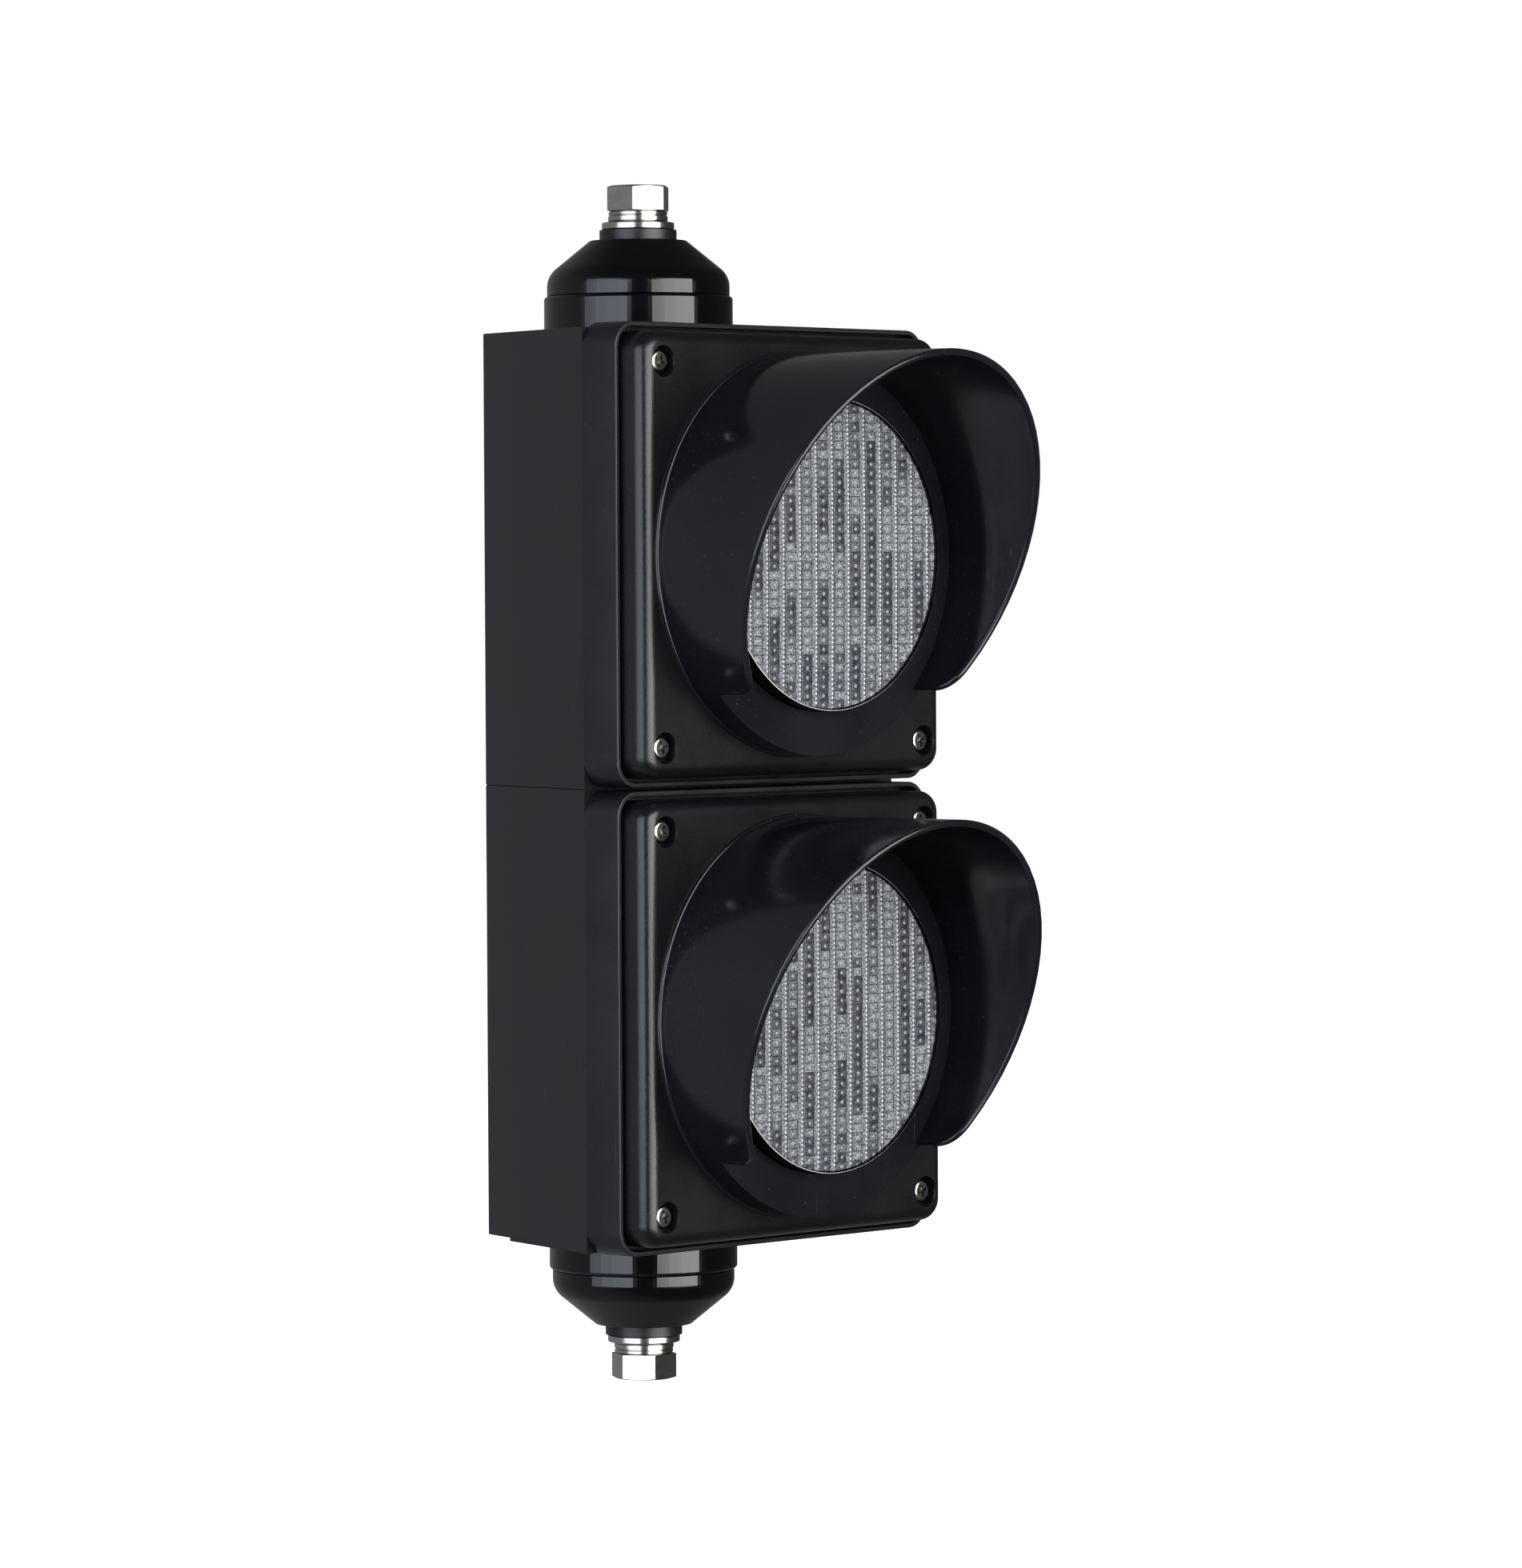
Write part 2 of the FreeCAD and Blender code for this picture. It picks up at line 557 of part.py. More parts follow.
def add_visor_cut(sketch):
    """Side view of what is taken off the hood, its lower corner rounded."""
    low, shelf, rake = -dim("VisorDrop"), dim("ShelfFace"), dim("VisorRake")
    radius = dim("VisorTip")
    tall = dim("VisorRad") + 4
    top = dim("VisorMid + VisorRake * (VisorRad + 4)")
    beyond = top + 20
    # the rounded corner is tangent to the level edge and to the slanted one
    slope_long = math.hypot(1, rake)
    centre_y = low + radius
    centre_z = dim("VisorMid") + rake * centre_y - radius * slope_long
    level_point = FreeCAD.Vector(low, centre_z, 0)
    slant_point = FreeCAD.Vector(centre_y - radius * rake / slope_long, centre_z + radius / slope_long, 0)
    points = [FreeCAD.Vector(low, shelf, 0), level_point, slant_point, FreeCAD.Vector(tall, top, 0),
              FreeCAD.Vector(tall, beyond, 0), FreeCAD.Vector(-tall, beyond, 0), FreeCAD.Vector(-tall, shelf, 0)]
    start_angle = math.atan2(slant_point.y - centre_z, slant_point.x - centre_y)
    arc = Part.ArcOfCircle(Part.Circle(FreeCAD.Vector(centre_y, centre_z, 0), Z_AXIS, radius), start_angle, math.pi)
    for start, end in zip(points, points[1:] + points[:1]):
        corner = start == level_point
        sketch.addGeometry(arc if corner else Part.LineSegment(start, end))
    ends = {step: (1, 2) for step in range(len(points))}
    ends[1] = (2, 1)
    for step in range(len(points)):
        following = (step + 1) % len(points)
        kind = "Tangent" if 1 in (step, following) else "Coincident"
        joint = (step, ends[step][1], following, ends[following][0])
        sketch.addConstraint(Sketcher.Constraint(kind, *joint))
    size_constraint(sketch, "Radius", 1, "VisorTip")
    for step, (x, y) in {0: ("-VisorDrop", "ShelfFace"),
                         3: ("VisorRad + 4", "VisorMid + VisorRake * (VisorRad + 4)"),
                         4: ("VisorRad + 4", "VisorMid + VisorRake * (VisorRad + 4) + 20"),
                         5: ("-(VisorRad + 4)", "VisorMid + VisorRake * (VisorRad + 4) + 20"),
                         6: ("-(VisorRad + 4)", "ShelfFace")}.items():
        pin_point(sketch, step, 1, x, y)
    sketch.addConstraint(Sketcher.Constraint("Vertical", 0))
    angle = sketch.addConstraint(Sketcher.Constraint("Angle", 2, math.atan(rake)))
    sketch.setExpression(f"Constraints[{angle}]", "atan(Dims.VisorRake)")


def make_lens(label, lower):
    """Clear cap: a flange, a short wall and a shallow dome."""
    wall = dim("LensWall")
    body = turned_body(label, front_place(lower), [
        ("0", "LensEdge - LensWall"), ("LensRad - LensWall", "LensEdge - LensWall"),
        ("LensRad - LensWall", "FlangeBack"), ("LensFlange", "FlangeBack"),
        ("LensFlange", "FlangeFace"), ("LensRad", "FlangeFace"), ("LensRad", "LensEdge"), ("0", "LensEdge")])
    body.Tip.Visibility = False
    rise, reach = dim("LensSag"), dim("LensRad") - 1.0
    edge = dim("LensEdge")
    crown_radius = (reach * reach + rise * rise) / (2 * rise)
    sketch = new_sketch(body, "XZ_Plane")
    centre = FreeCAD.Vector(0, edge + rise - crown_radius, 0)
    half_angle = math.asin(reach / crown_radius)
    arc = Part.ArcOfCircle(Part.Circle(centre, Z_AXIS, crown_radius), math.pi / 2 - half_angle, math.pi / 2)
    sketch.addGeometry(arc)
    sketch.addGeometry(Part.LineSegment(FreeCAD.Vector(0, edge + rise, 0), FreeCAD.Vector(0, edge - wall / 2, 0)))
    sketch.addGeometry(Part.LineSegment(FreeCAD.Vector(0, edge - wall / 2, 0),
                                        FreeCAD.Vector(reach, edge - wall / 2, 0)))
    sketch.addGeometry(Part.LineSegment(FreeCAD.Vector(reach, edge - wall / 2, 0), FreeCAD.Vector(reach, edge, 0)))
    for first, first_end, second, second_end in ((0, 2, 1, 1), (1, 2, 2, 1), (2, 2, 3, 1), (3, 2, 0, 1)):
        sketch.addConstraint(Sketcher.Constraint("Coincident", first, first_end, second, second_end))
    sketch.addConstraint(Sketcher.Constraint("PointOnObject", 0, 3, -2))
    pin_point(sketch, 0, 2, "0", "LensEdge + LensSag")
    pin_point(sketch, 1, 2, "0", "LensEdge - LensWall / 2")
    pin_point(sketch, 3, 1, "LensRad - 1", "LensEdge - LensWall / 2")
    pin_point(sketch, 0, 1, "LensRad - 1", "LensEdge")
    revolve(body, sketch)
    return body


def make_lamp_pieces(side, lower):
    place = front_place(lower)
    turned_body(f"{side}_lens_seal", place, [
        ("LampRad", "LampFace"), ("LensFlange", "LampFace"), ("LensFlange", "FlangeBack"), ("LampRad", "FlangeBack")])
    turned_body(f"{side}_patterned_lens", place, [
        ("0", "PatternFace - PatternThick"), ("PatternRad", "PatternFace - PatternThick"),
        ("PatternRad", "PatternFace"), ("0", "PatternFace")])
    inner = "(LampRad - LampWall)"
    small = "(LampSmall - LampWall)"
    case = turned_body(f"{side}_lamp_case", place, [
        ("0", "-LampBack"), ("LampSmall", "-LampBack"), ("LampSmall", "-LampStep"), ("LampRad", "-LampStep"),
        ("LampRad", "CoverFace + 0.05"), ("LampFlange", "CoverFace + 0.05"), ("LampFlange", "LampFace"),
        (inner, "LampFace"), (inner, "LampWall - LampStep"), (small, "LampWall - LampStep"),
        (small, "LampWall - LampBack + BoardRise"), (f"({small} - BoardRise)", "LampWall - LampBack + BoardRise"),
        (f"({small} - BoardRise)", "LampWall - LampBack"), ("0", "LampWall - LampBack")])
    cut_visor_screw_holes(case, "LampFace + 1", "LampFace - CoverFace + 2")
    turned_body(f"{side}_led_board", place, [
        ("0", "LampWall - LampStep"), (f"{inner} - 0.3", "LampWall - LampStep"),
        (f"{inner} - 0.3", "LampWall - LampStep + BoardThick"), ("0", "LampWall - LampStep + BoardThick")])
    driver_base = "BoardRise + LampWall - LampBack"
    turned_body(f"{side}_driver_board", place, [
        ("0", driver_base), (f"{small} - 0.3", driver_base),
        (f"{small} - 0.3", f"{driver_base} + BoardThick"), ("0", f"{driver_base} + BoardThick")])
    add_feature(f"{side}_leds", led_shapes(), place)
    add_feature(f"{side}_driver_parts", driver_shapes(), place)
    add_feature(f"{side}_cover_screws", cover_screw_shapes(), place)
    add_feature(f"{side}_screw_seals", screw_seal_shapes(), place)
    add_feature(f"{side}_visor_screws", visor_screw_shapes(), place)


def led_shapes():
    """Round LEDs in rings on their board, one in the middle."""
    base = dim("LampWall - LampStep + BoardThick")
    radius, height, pitch = dim("LedRad"), dim("LedHigh"), dim("LedPitch")
    places = [(0.0, 0.0)]
    for ring in (1, 2, 3):
        for step in range(6 * ring):
            angle = 2 * math.pi * step / (6 * ring)
            places.append((ring * pitch * math.cos(angle), ring * pitch * math.sin(angle)))
    lamps = []
    for x, y in places:
        stem = cylinder(radius, height - radius, x, y, base)
        cap = Part.makeSphere(radius, FreeCAD.Vector(x, y, base + height - radius))
        collar = cylinder(radius + 0.4, 1.0, x, y, base)
        lamps.append(stem.fuse([cap, collar]).removeSplitter())
    return Part.makeCompound(lamps)


def driver_shapes():
    """Transformer, two capacitors and a terminal on the driver board."""
    base = dim("BoardRise + LampWall - LampBack + BoardThick")
    room = dim("LampWall - LampStep") - base - 0.5
    pieces = [Part.makeBox(22, 16, room, FreeCAD.Vector(-30, -8, base)),
              cylinder(5, room - 0.5, 8, 14, base),
              cylinder(5, room - 0.5, 22, 10, base),
              Part.makeBox(12, 8, room - 1, FreeCAD.Vector(4, -26, base))]
    return Part.makeCompound(pieces)


def cross_recess(top, depth, reach, width):
    """Cutter for a cross recess that narrows with depth."""
    arms = [Part.makeBox(2 * reach, width, depth + 1, FreeCAD.Vector(-reach, -width / 2, top - depth)),
            Part.makeBox(width, 2 * reach, depth + 1, FreeCAD.Vector(-width / 2, -reach, top - depth))]
    cone = Part.makeCone(0.35 * reach, 0.8 * reach, depth, FreeCAD.Vector(0, 0, top - depth))
    return arms[0].fuse([arms[1], cone])


def cover_screw_shapes():
    """Pan-head screws with a cross recess, standing on their seals."""
    seat = dim("SinkFloor + SealThick")
    high, wide, shank = dim("HeadHigh"), dim("HeadRad"), dim("ScrewRad")
    tip = -dim("ScrewTip")
    head = cylinder(wide, high, base=seat)
    crown_edges = [edge for edge in head.Edges if ring_at(edge, wide, seat + high)]
    head = head.makeFillet(0.55 * high, crown_edges)
    body = head.fuse([cylinder(shank, seat - tip - 2, base=tip + 2),
                      Part.makeCone(0.6, shank, 2, FreeCAD.Vector(0, 0, tip))])
    body = body.cut(cross_recess(seat + high, 1.5, 0.62 * wide, 0.95)).removeSplitter()
    turns = (20, 65, 110, 5)
    screws = []
    for (x, y), turn in zip(screw_corners(), turns):
        screw = body.copy()
        screw.rotate(FreeCAD.Vector(0, 0, 0), Z_AXIS, turn)
        screw.translate(FreeCAD.Vector(x, y, 0))
        screws.append(screw)
    return Part.makeCompound(screws)


def screw_seal_shapes():
    floor, thick = dim("SinkFloor"), dim("SealThick")
    seals = [cylinder(dim("HeadRad + 0.3"), thick, x, y, floor).cut(cylinder(dim("ScrewRad"), thick, x, y, floor))
             for x, y in screw_corners()]
    return Part.makeCompound(seals)


def visor_screw_shapes():
    """Small screws from behind the cover, through the lamp flange, into the visor's foot."""
    ring, back, tip = dim("VisorScrewRing"), dim("CoverFace - CoverWall"), dim("VisorScrewTip")
    high = dim("VisorScrewHigh")
    screws = []
    for step in range(4):
        angle = math.pi / 4 + step * math.pi / 2
        x, y = ring * math.cos(angle), ring * math.sin(angle)
        shank = cylinder(dim("VisorScrewRad"), tip - back, x, y, back)
        head = cylinder(dim("VisorScrewHead"), high, x, y, back - high)
        screws.append(shank.fuse(head).removeSplitter())
    return Part.makeCompound(screws)


# ---------------------------------------------------------------- fittings on the swivel axis

def make_fitting(side, lower, hex_turn):
    seat = seat_place(lower)
    stack = "CollarHigh + RunGap"
    inner = "(CollarRad - CollarWall)"
    collar = turned_body(f"{side}_collar", seat, [
        ("HubBore", "0"), ("CollarRad", "0"), ("CollarRad", "CollarHigh"), (inner, "CollarHigh"), (inner, "3"),
        ("HubRad", "3"), ("HubRad", "CollarHigh - 0.4"), ("HubBore", "CollarHigh - 0.4")])
    top = dim("CollarHigh")
    radius = dim("CollarRad")
    dress(collar, "Chamfer", "0.8", lambda edge: ring_at(edge, radius, top))
    make_dome(f"{side}_dome_cap", seat)
    top_of_dome = f"{stack} + DomeHigh"
    turned_body(f"{side}_bush", seat, [
        ("BushBore", "1.2"), ("BushSpigot", "1.2"), ("BushSpigot", f"{top_of_dome} - BushSink"),
        ("BushFoot", f"{top_of_dome} - BushSink"), ("BushFoot", top_of_dome), ("BushRad", top_of_dome),
        ("BushRad", f"{top_of_dome} + BushProud"), ("BushBore", f"{top_of_dome} + BushProud")])
    washer_base = f"{top_of_dome} + BushProud + RunGap"
    flat = turned_body(f"{side}_flat_washer", seat, [
        ("BoltRad + 0.05", washer_base), ("FlatRad", washer_base),
        ("FlatRad", f"{washer_base} + FlatThick"), ("BoltRad + 0.05", f"{washer_base} + FlatThick")])
    flat_top = dim(f"{washer_base} + FlatThick")
    flat_radius = dim("FlatRad")
    dress(flat, "Fillet", "0.5", lambda edge: ring_at(edge, flat_radius, flat_top))
    add_feature(f"{side}_spring_washer", spring_washer_shape(flat_top), seat)
    head_base = flat_top + dim("SpringHigh")
    add_feature(f"{side}_bolt", bolt_shape(head_base, hex_turn), seat)
    wall_inner = -dim("Wall") - (dim("PadHigh") if lower else 0)
    add_feature(f"{side}_clamp_plate", clamp_plate_shape(wall_inner), seat)
    add_feature(f"{side}_nut", nut_shape(wall_inner - dim("PlateThick")), seat)


def make_dome(label, seat):
    """Cap with a short straight rim, a round shoulder and a cone up to a small flat top."""
    body = new_body(label, seat)
    rad, top, spigot = dim("DomeRad"), dim("DomeTop"), dim("BushSpigot")
    base = dim("CollarHigh + RunGap")
    peak, round_off = base + dim("DomeHigh"), dim("DomeRound")
    centre = FreeCAD.Vector(rad - round_off, base + dim("DomeRim"), 0)
    # the cone's line runs from the flat top to where it touches the shoulder
    run = FreeCAD.Vector(top, peak, 0) - centre
    turn = math.atan2(run.y, run.x) - math.acos(round_off / run.Length)
    shoulder = centre + FreeCAD.Vector(round_off * math.cos(turn), round_off * math.sin(turn), 0)
    sketch = new_sketch(body, "XZ_Plane")
    points = [FreeCAD.Vector(rad, base, 0), FreeCAD.Vector(rad, centre.y, 0), shoulder,
              FreeCAD.Vector(top, peak, 0), FreeCAD.Vector(spigot, peak, 0), FreeCAD.Vector(spigot, base, 0)]
    arc = Part.ArcOfCircle(Part.Circle(centre, Z_AXIS, round_off), 0, turn)
    for step, (start, end) in enumerate(zip(points, points[1:] + points[:1])):
        sketch.addGeometry(arc if step == 1 else Part.LineSegment(start, end))
    for step in range(6):
        kind = "Tangent" if step < 2 else "Coincident"
        sketch.addConstraint(Sketcher.Constraint(kind, step, 2, (step + 1) % 6, 1))
    size_constraint(sketch, "Radius", 1, "DomeRound")
    stack = "CollarHigh + RunGap"
    for step, (x, y) in {0: ("DomeRad", stack), 3: ("DomeTop", f"{stack} + DomeHigh"),
                         4: ("BushSpigot", f"{stack} + DomeHigh"), 5: ("BushSpigot", stack)}.items():
        pin_point(sketch, step, 1, x, y)
    sketch.addConstraint(Sketcher.Constraint("Vertical", 0))
    rim = sketch.addConstraint(Sketcher.Constraint("DistanceY", 0, 1, 0, 2, dim("DomeRim")))
    sketch.setExpression(f"Constraints[{rim}]", dims_expression("DomeRim"))
    revolve(body, sketch)
    doc.recompute()
    # hollow between the rim and the hub, open towards the collar
    sketch = new_sketch(body, "XZ_Plane")
    roof = "DomeHigh - DomeWall - 2"
    add_polygon(sketch, [("HubRad", f"{stack} - 1"), ("DomeRad - DomeWall", f"{stack} - 1"),
                         ("DomeRad - DomeWall", f"{stack} + DomeRim"),
                         ("DomeRad - DomeWall - 3.5", f"{stack} + DomeRim + 3.5"),
                         ("HubRad + 3", f"{stack} + {roof}"), ("HubRad", f"{stack} + {roof}")])
    groove = body.newObject("PartDesign::Groove", label + "_hollow")
    groove.Profile = sketch
    groove.ReferenceAxis = (sketch, ["V_Axis"])
    groove.Angle = 360
    # recess for the bush's flange, so that the bracket's eye lies flat on the ring left round it
    sketch = new_sketch(body, rise=f"{stack} + DomeHigh")
    add_circle(sketch, "SinkRing")
    pocket(body, sketch, "BushSink")
    return body


def spring_washer_shape(base):
    """Split ring with its ends sprung a little apart."""
    thick, outer, inner = dim("SpringHigh"), dim("SpringRad"), dim("BoltRad + 0.1")
    ring = cylinder(outer, thick, base=base).cut(cylinder(inner, thick, base=base))
    gap = Part.makeBox(outer + 2, 1.1, thick + 4, FreeCAD.Vector(0, -0.55, base - 2))
    gap.rotate(FreeCAD.Vector(0, 0, base + thick / 2), X_AXIS, 25)
    gap.rotate(FreeCAD.Vector(0, 0, 0), Z_AXIS, 205)
    return ring.cut(gap)


def corner_turned_hex(flats, high, base, turn=0.0):
    """Hexagon whose corners are turned down at its outer end."""
    reach = flats / math.sqrt(3) + 0.1
    bevel = 1.3
    barrel = cylinder(reach, high - bevel, base=base)
    cone = Part.makeCone(reach, flats / 2 - 0.3, bevel, FreeCAD.Vector(0, 0, base + high - bevel))
    return hex_prism(flats, high, base, turn).common(barrel.fuse(cone))


def bolt_shape(base, turn):
    shank, long, tip_long = dim("BoltRad"), dim("BoltLong"), 1.2
    head = corner_turned_hex(dim("HexFlats"), dim("HexHigh"), base, turn)
    shaft = cylinder(shank, long - tip_long, base=base - long + tip_long)
    tip = Part.makeCone(shank - tip_long, shank, tip_long, FreeCAD.Vector(0, 0, base - long))
    return head.fuse([shaft, tip]).removeSplitter()


def clamp_plate_shape(top):
    wide, deep, thick = dim("PlateWide"), dim("PlateDeep"), dim("PlateThick")
    plate = Part.makeBox(wide, deep, thick, FreeCAD.Vector(-wide / 2, -deep / 2, top - thick))
    uprights = [edge for edge in plate.Edges if edge.BoundBox.ZLength > thick - 1e-6]
    plate = plate.makeFillet(4, uprights)
    return plate.cut(cylinder(dim("BoltRad + 0.3"), thick + 2, base=top - thick - 1))


def nut_shape(top):
    high = dim("NutHigh")
    nut = corner_turned_hex(dim("HexFlats"), high, top - high)
    return nut.cut(cylinder(dim("BoltRad"), high + 2, base=top - high - 1))


# ---------------------------------------------------------------- seam, wiring and gland

def tie_points():
    return [(dim(x), dim(y)) for x, y in tie_places()]


def tie_bolt_shapes():
    """Hexagon bolts that hold the modules together, heads in the upper one."""
    wall, flats, high, radius = dim("Wall"), dim("TieNutFlats"), dim("TieNutHigh"), dim("TieRad")
    bolts = []
    for x, y in tie_points():
        bolt = hex_prism(flats, high, wall).fuse(cylinder(radius, 2 * wall + 8, base=-wall - 8)).removeSplitter()
        bolt.translate(FreeCAD.Vector(x, y, 0))
        bolts.append(bolt)
    return Part.makeCompound(bolts)


def tie_nut_shapes():
    wall, flats, high, radius = dim("Wall"), dim("TieNutFlats"), dim("TieNutHigh"), dim("TieRad")
    nuts = []
    for x, y in tie_points():
        nut = hex_prism(flats, high, -wall - high).cut(cylinder(radius, high + 2, base=-wall - high - 1))
        nut.translate(FreeCAD.Vector(x, y, 0))
        nuts.append(nut)
    return Part.makeCompound(nuts)


def make_seam_and_wiring():
    seam = module_place(False)
    passage = FreeCAD.Placement(FreeCAD.Vector(0, dim("CableBack"), SEAM_Z), FreeCAD.Rotation())
    add_feature("tie_bolts", tie_bolt_shapes(), seam)
    add_feature("tie_nuts", tie_nut_shapes(), seam)
    turned_body("seam_grommet", passage, [
        ("3.5", "-(Wall + 2)"), ("CableHole + 2", "-(Wall + 2)"), ("CableHole + 2", "-Wall"),
        ("CableHole - 0.05", "-Wall"), ("CableHole - 0.05", "Wall"), ("CableHole + 2", "Wall"),
        ("CableHole + 2", "Wall + 2"), ("3.5", "Wall + 2")])
    turned_body("seam_cable", passage, [
        ("0", "-30"), ("3.4", "-30"), ("3.4", "34"), ("0", "34")])
    plug_box = Part.makeBox(14, 9, 16, FreeCAD.Vector(-7, -4.5, 34))
    add_feature("cable_plug", plug_box, passage)
    block_place = FreeCAD.Placement(FreeCAD.Vector(0, dim("BackReach - Wall"), SEAM_Z), FreeCAD.Rotation())
    add_feature("terminal_block", terminal_block_shape(), block_place)
    make_gland()


def terminal_block_shape():
    """Screw terminal strip on the back wall below the seam, with an entry per wire."""
    poles, pitch, deep, high = 5, 10.0, 16.0, 18.0
    wide = poles * pitch
    low = -100.0
    block = Part.makeBox(wide, deep, high, FreeCAD.Vector(-wide / 2, -deep, low))
    for step in range(poles):
        x = -wide / 2 + pitch * (step + 0.5)
        block = block.cut(cylinder(2.6, 12, x, -deep / 2, low + high - 11))
        entry = Part.makeCylinder(2.2, 9, FreeCAD.Vector(x, -deep - 1, low + 5), Y_AXIS)
        block = block.cut(entry)
    return block


def make_gland():
    """Cable gland on the back of the lower housing; z of its frame points out of the back."""
    centre = FreeCAD.Vector(0, dim("BackReach"), SEAM_Z - dim("GlandHeight"))
    place = FreeCAD.Placement(centre, FreeCAD.Rotation(X_AXIS, -90))
    thread, bore, flats = dim("GlandRad"), dim("GlandBore"), dim("GlandFlats")
    body = hex_prism(flats, 5.5).fuse([cylinder(thread, 15, base=-9), cylinder(thread - 0.6, 8, base=5.5)])
    body = body.cut(cylinder(bore + 1.6, 24, base=-10)).removeSplitter()
    add_feature("gland_body", body, place)
    seal = cylinder(bore + 1.55, 7, base=6.0).cut(cylinder(bore, 9, base=5.0))
    add_feature("gland_seal", seal, place)
    cap = hex_prism(flats, 7.0, 6.0).fuse(Part.makeCone(flats / 2 - 0.4, bore + 2.2, 5.5, FreeCAD.Vector(0, 0, 13.0)))
    cap = cap.cut(cylinder(thread - 0.6, 8.5, base=5.0)).cut(cylinder(bore + 0.2, 20, base=5)).removeSplitter()
    add_feature("gland_cap", cap, place)
    nut = hex_prism(flats, 4.0, -dim("Wall") - 4.0).cut(cylinder(thread, 12, base=-12))
    add_feature("gland_locknut", nut, place)


# ---------------------------------------------------------------- build

def build():
    for side, lower, hex_turn in (("upper", False, 5.7), ("lower", True, 153.4)):
        make_housing(f"{side}_housing", lower)
        make_cover_gasket(f"{side}_cover_gasket", lower)
        make_cover(f"{side}_cover", lower)
        make_visor(f"{side}_visor", lower)
        make_lens(f"{side}_lens", lower)
        make_lamp_pieces(side, lower)
        make_fitting(side, lower, hex_turn)
    make_seam_and_wiring()
    doc.recompute()


def check_and_export():
    for item in doc.Objects:
        if "Invalid" in item.State or "Error" in item.State:
            raise RuntimeError(f"{item.Label} failed: {item.State}")
    os.makedirs("parts", exist_ok=True)
    for label in LABELS:
        item = doc.getObjectsByLabel(label)[0]
        shape = item.Shape
        if shape.isNull() or not shape.isValid():
            raise RuntimeError(f"{label} has no valid shape")
        print(label, len(shape.Solids), round(shape.Volume, 1))
        shape.exportStep(f"parts/{label}.step")


build()
check_and_export()
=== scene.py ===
import math

import bmesh
import bpy
from mathutils import Matrix, Vector


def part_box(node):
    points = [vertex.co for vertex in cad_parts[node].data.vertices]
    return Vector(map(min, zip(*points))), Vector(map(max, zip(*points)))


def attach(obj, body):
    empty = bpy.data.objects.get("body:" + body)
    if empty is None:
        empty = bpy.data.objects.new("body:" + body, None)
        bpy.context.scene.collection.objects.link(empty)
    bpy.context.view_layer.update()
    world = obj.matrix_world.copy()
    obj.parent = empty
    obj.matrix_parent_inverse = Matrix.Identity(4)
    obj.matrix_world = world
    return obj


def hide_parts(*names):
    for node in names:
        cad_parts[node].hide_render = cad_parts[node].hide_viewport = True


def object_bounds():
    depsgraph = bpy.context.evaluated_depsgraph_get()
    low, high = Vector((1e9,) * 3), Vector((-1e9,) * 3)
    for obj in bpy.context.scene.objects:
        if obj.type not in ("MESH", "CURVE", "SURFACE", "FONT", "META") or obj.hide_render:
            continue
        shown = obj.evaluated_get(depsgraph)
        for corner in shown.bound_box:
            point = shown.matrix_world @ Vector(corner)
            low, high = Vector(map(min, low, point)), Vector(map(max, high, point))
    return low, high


bl_info = {
    "name": "Pedestrian Signal Head",
    "version": (1, 0, 0),
    "blender": (4, 5, 0),
    "location": "3D View > Sidebar > Signal",
    "description": "Builds a two-lamp pedestrian signal head round its packed frame",
    "category": "Add Mesh",
}

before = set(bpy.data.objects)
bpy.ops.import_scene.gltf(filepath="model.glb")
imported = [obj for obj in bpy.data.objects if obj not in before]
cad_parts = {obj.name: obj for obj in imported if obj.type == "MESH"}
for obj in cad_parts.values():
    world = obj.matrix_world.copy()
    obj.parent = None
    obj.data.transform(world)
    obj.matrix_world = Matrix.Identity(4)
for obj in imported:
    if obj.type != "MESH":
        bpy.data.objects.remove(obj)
CAD_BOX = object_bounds()

MM = 0.001
UP = Vector((0, 0, 1))
FORWARD = Vector((0, -1, 0))
HOUSING_LOW, HOUSING_HIGH = (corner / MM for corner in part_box("upper_housing"))
SEAM = HOUSING_LOW.z
RIM = -HOUSING_LOW.y
BACK = HOUSING_HIGH.y
HALF_WIDE = HOUSING_HIGH.x
HALF_PITCH = 75.0
SIDES = {"upper": 1, "lower": -1}
FRONT_BACK = 15.0 - RIM
FRONT_LOW, FRONT_HIGH = 0.6, 149.6
REAR_HIGH = 148.0
SLANT_END, SLANT_HALF, BACK_HALF = 17.6, 55.0, 33.0
WALL, LIP = 3.0, 1.4
CREASE = 14.0
SCREW_OUT = 61.65
RIM_CORNER = 8.0
COVER_WIDE, COVER_TALL, COVER_CORNER, COVER_FRONT = 141.6, 143.2, 7.4, 10.0
VISOR_OUTER, VISOR_INNER, VISOR_WALL_MIDDLE = 65.2, 62.9, 64.05
VISOR_RAKE, VISOR_MID, SHELF_FRONT = 0.407, 53.4, 20.4
LENS_REACH, LENS_RIM, LENS_RISE = 50.4, 26.5, 4.0
PATTERN_REACH, PATTERN_RIM, PATTERN_RISE = 49.9, 25.4, 0.4
ACROSS_FLATS = 19.0
LEFT_SWING, RIGHT_SWING = math.radians(39.5), math.radians(45.5)


# ---------------------------------------------------------------- settings

def length(name, description, default):
    return bpy.props.FloatProperty(name=name, description=description, default=default * MM, unit="LENGTH",
                                   min=0.0, precision=4)


def colour(name, description, default):
    return bpy.props.FloatVectorProperty(name=name, description=description, default=default, subtype="COLOR",
                                         size=4, min=0.0, max=1.0)


def share(name, description, default):
    return bpy.props.FloatProperty(name=name, description=description, default=default, subtype="FACTOR",
                                   min=0.0, max=1.0)


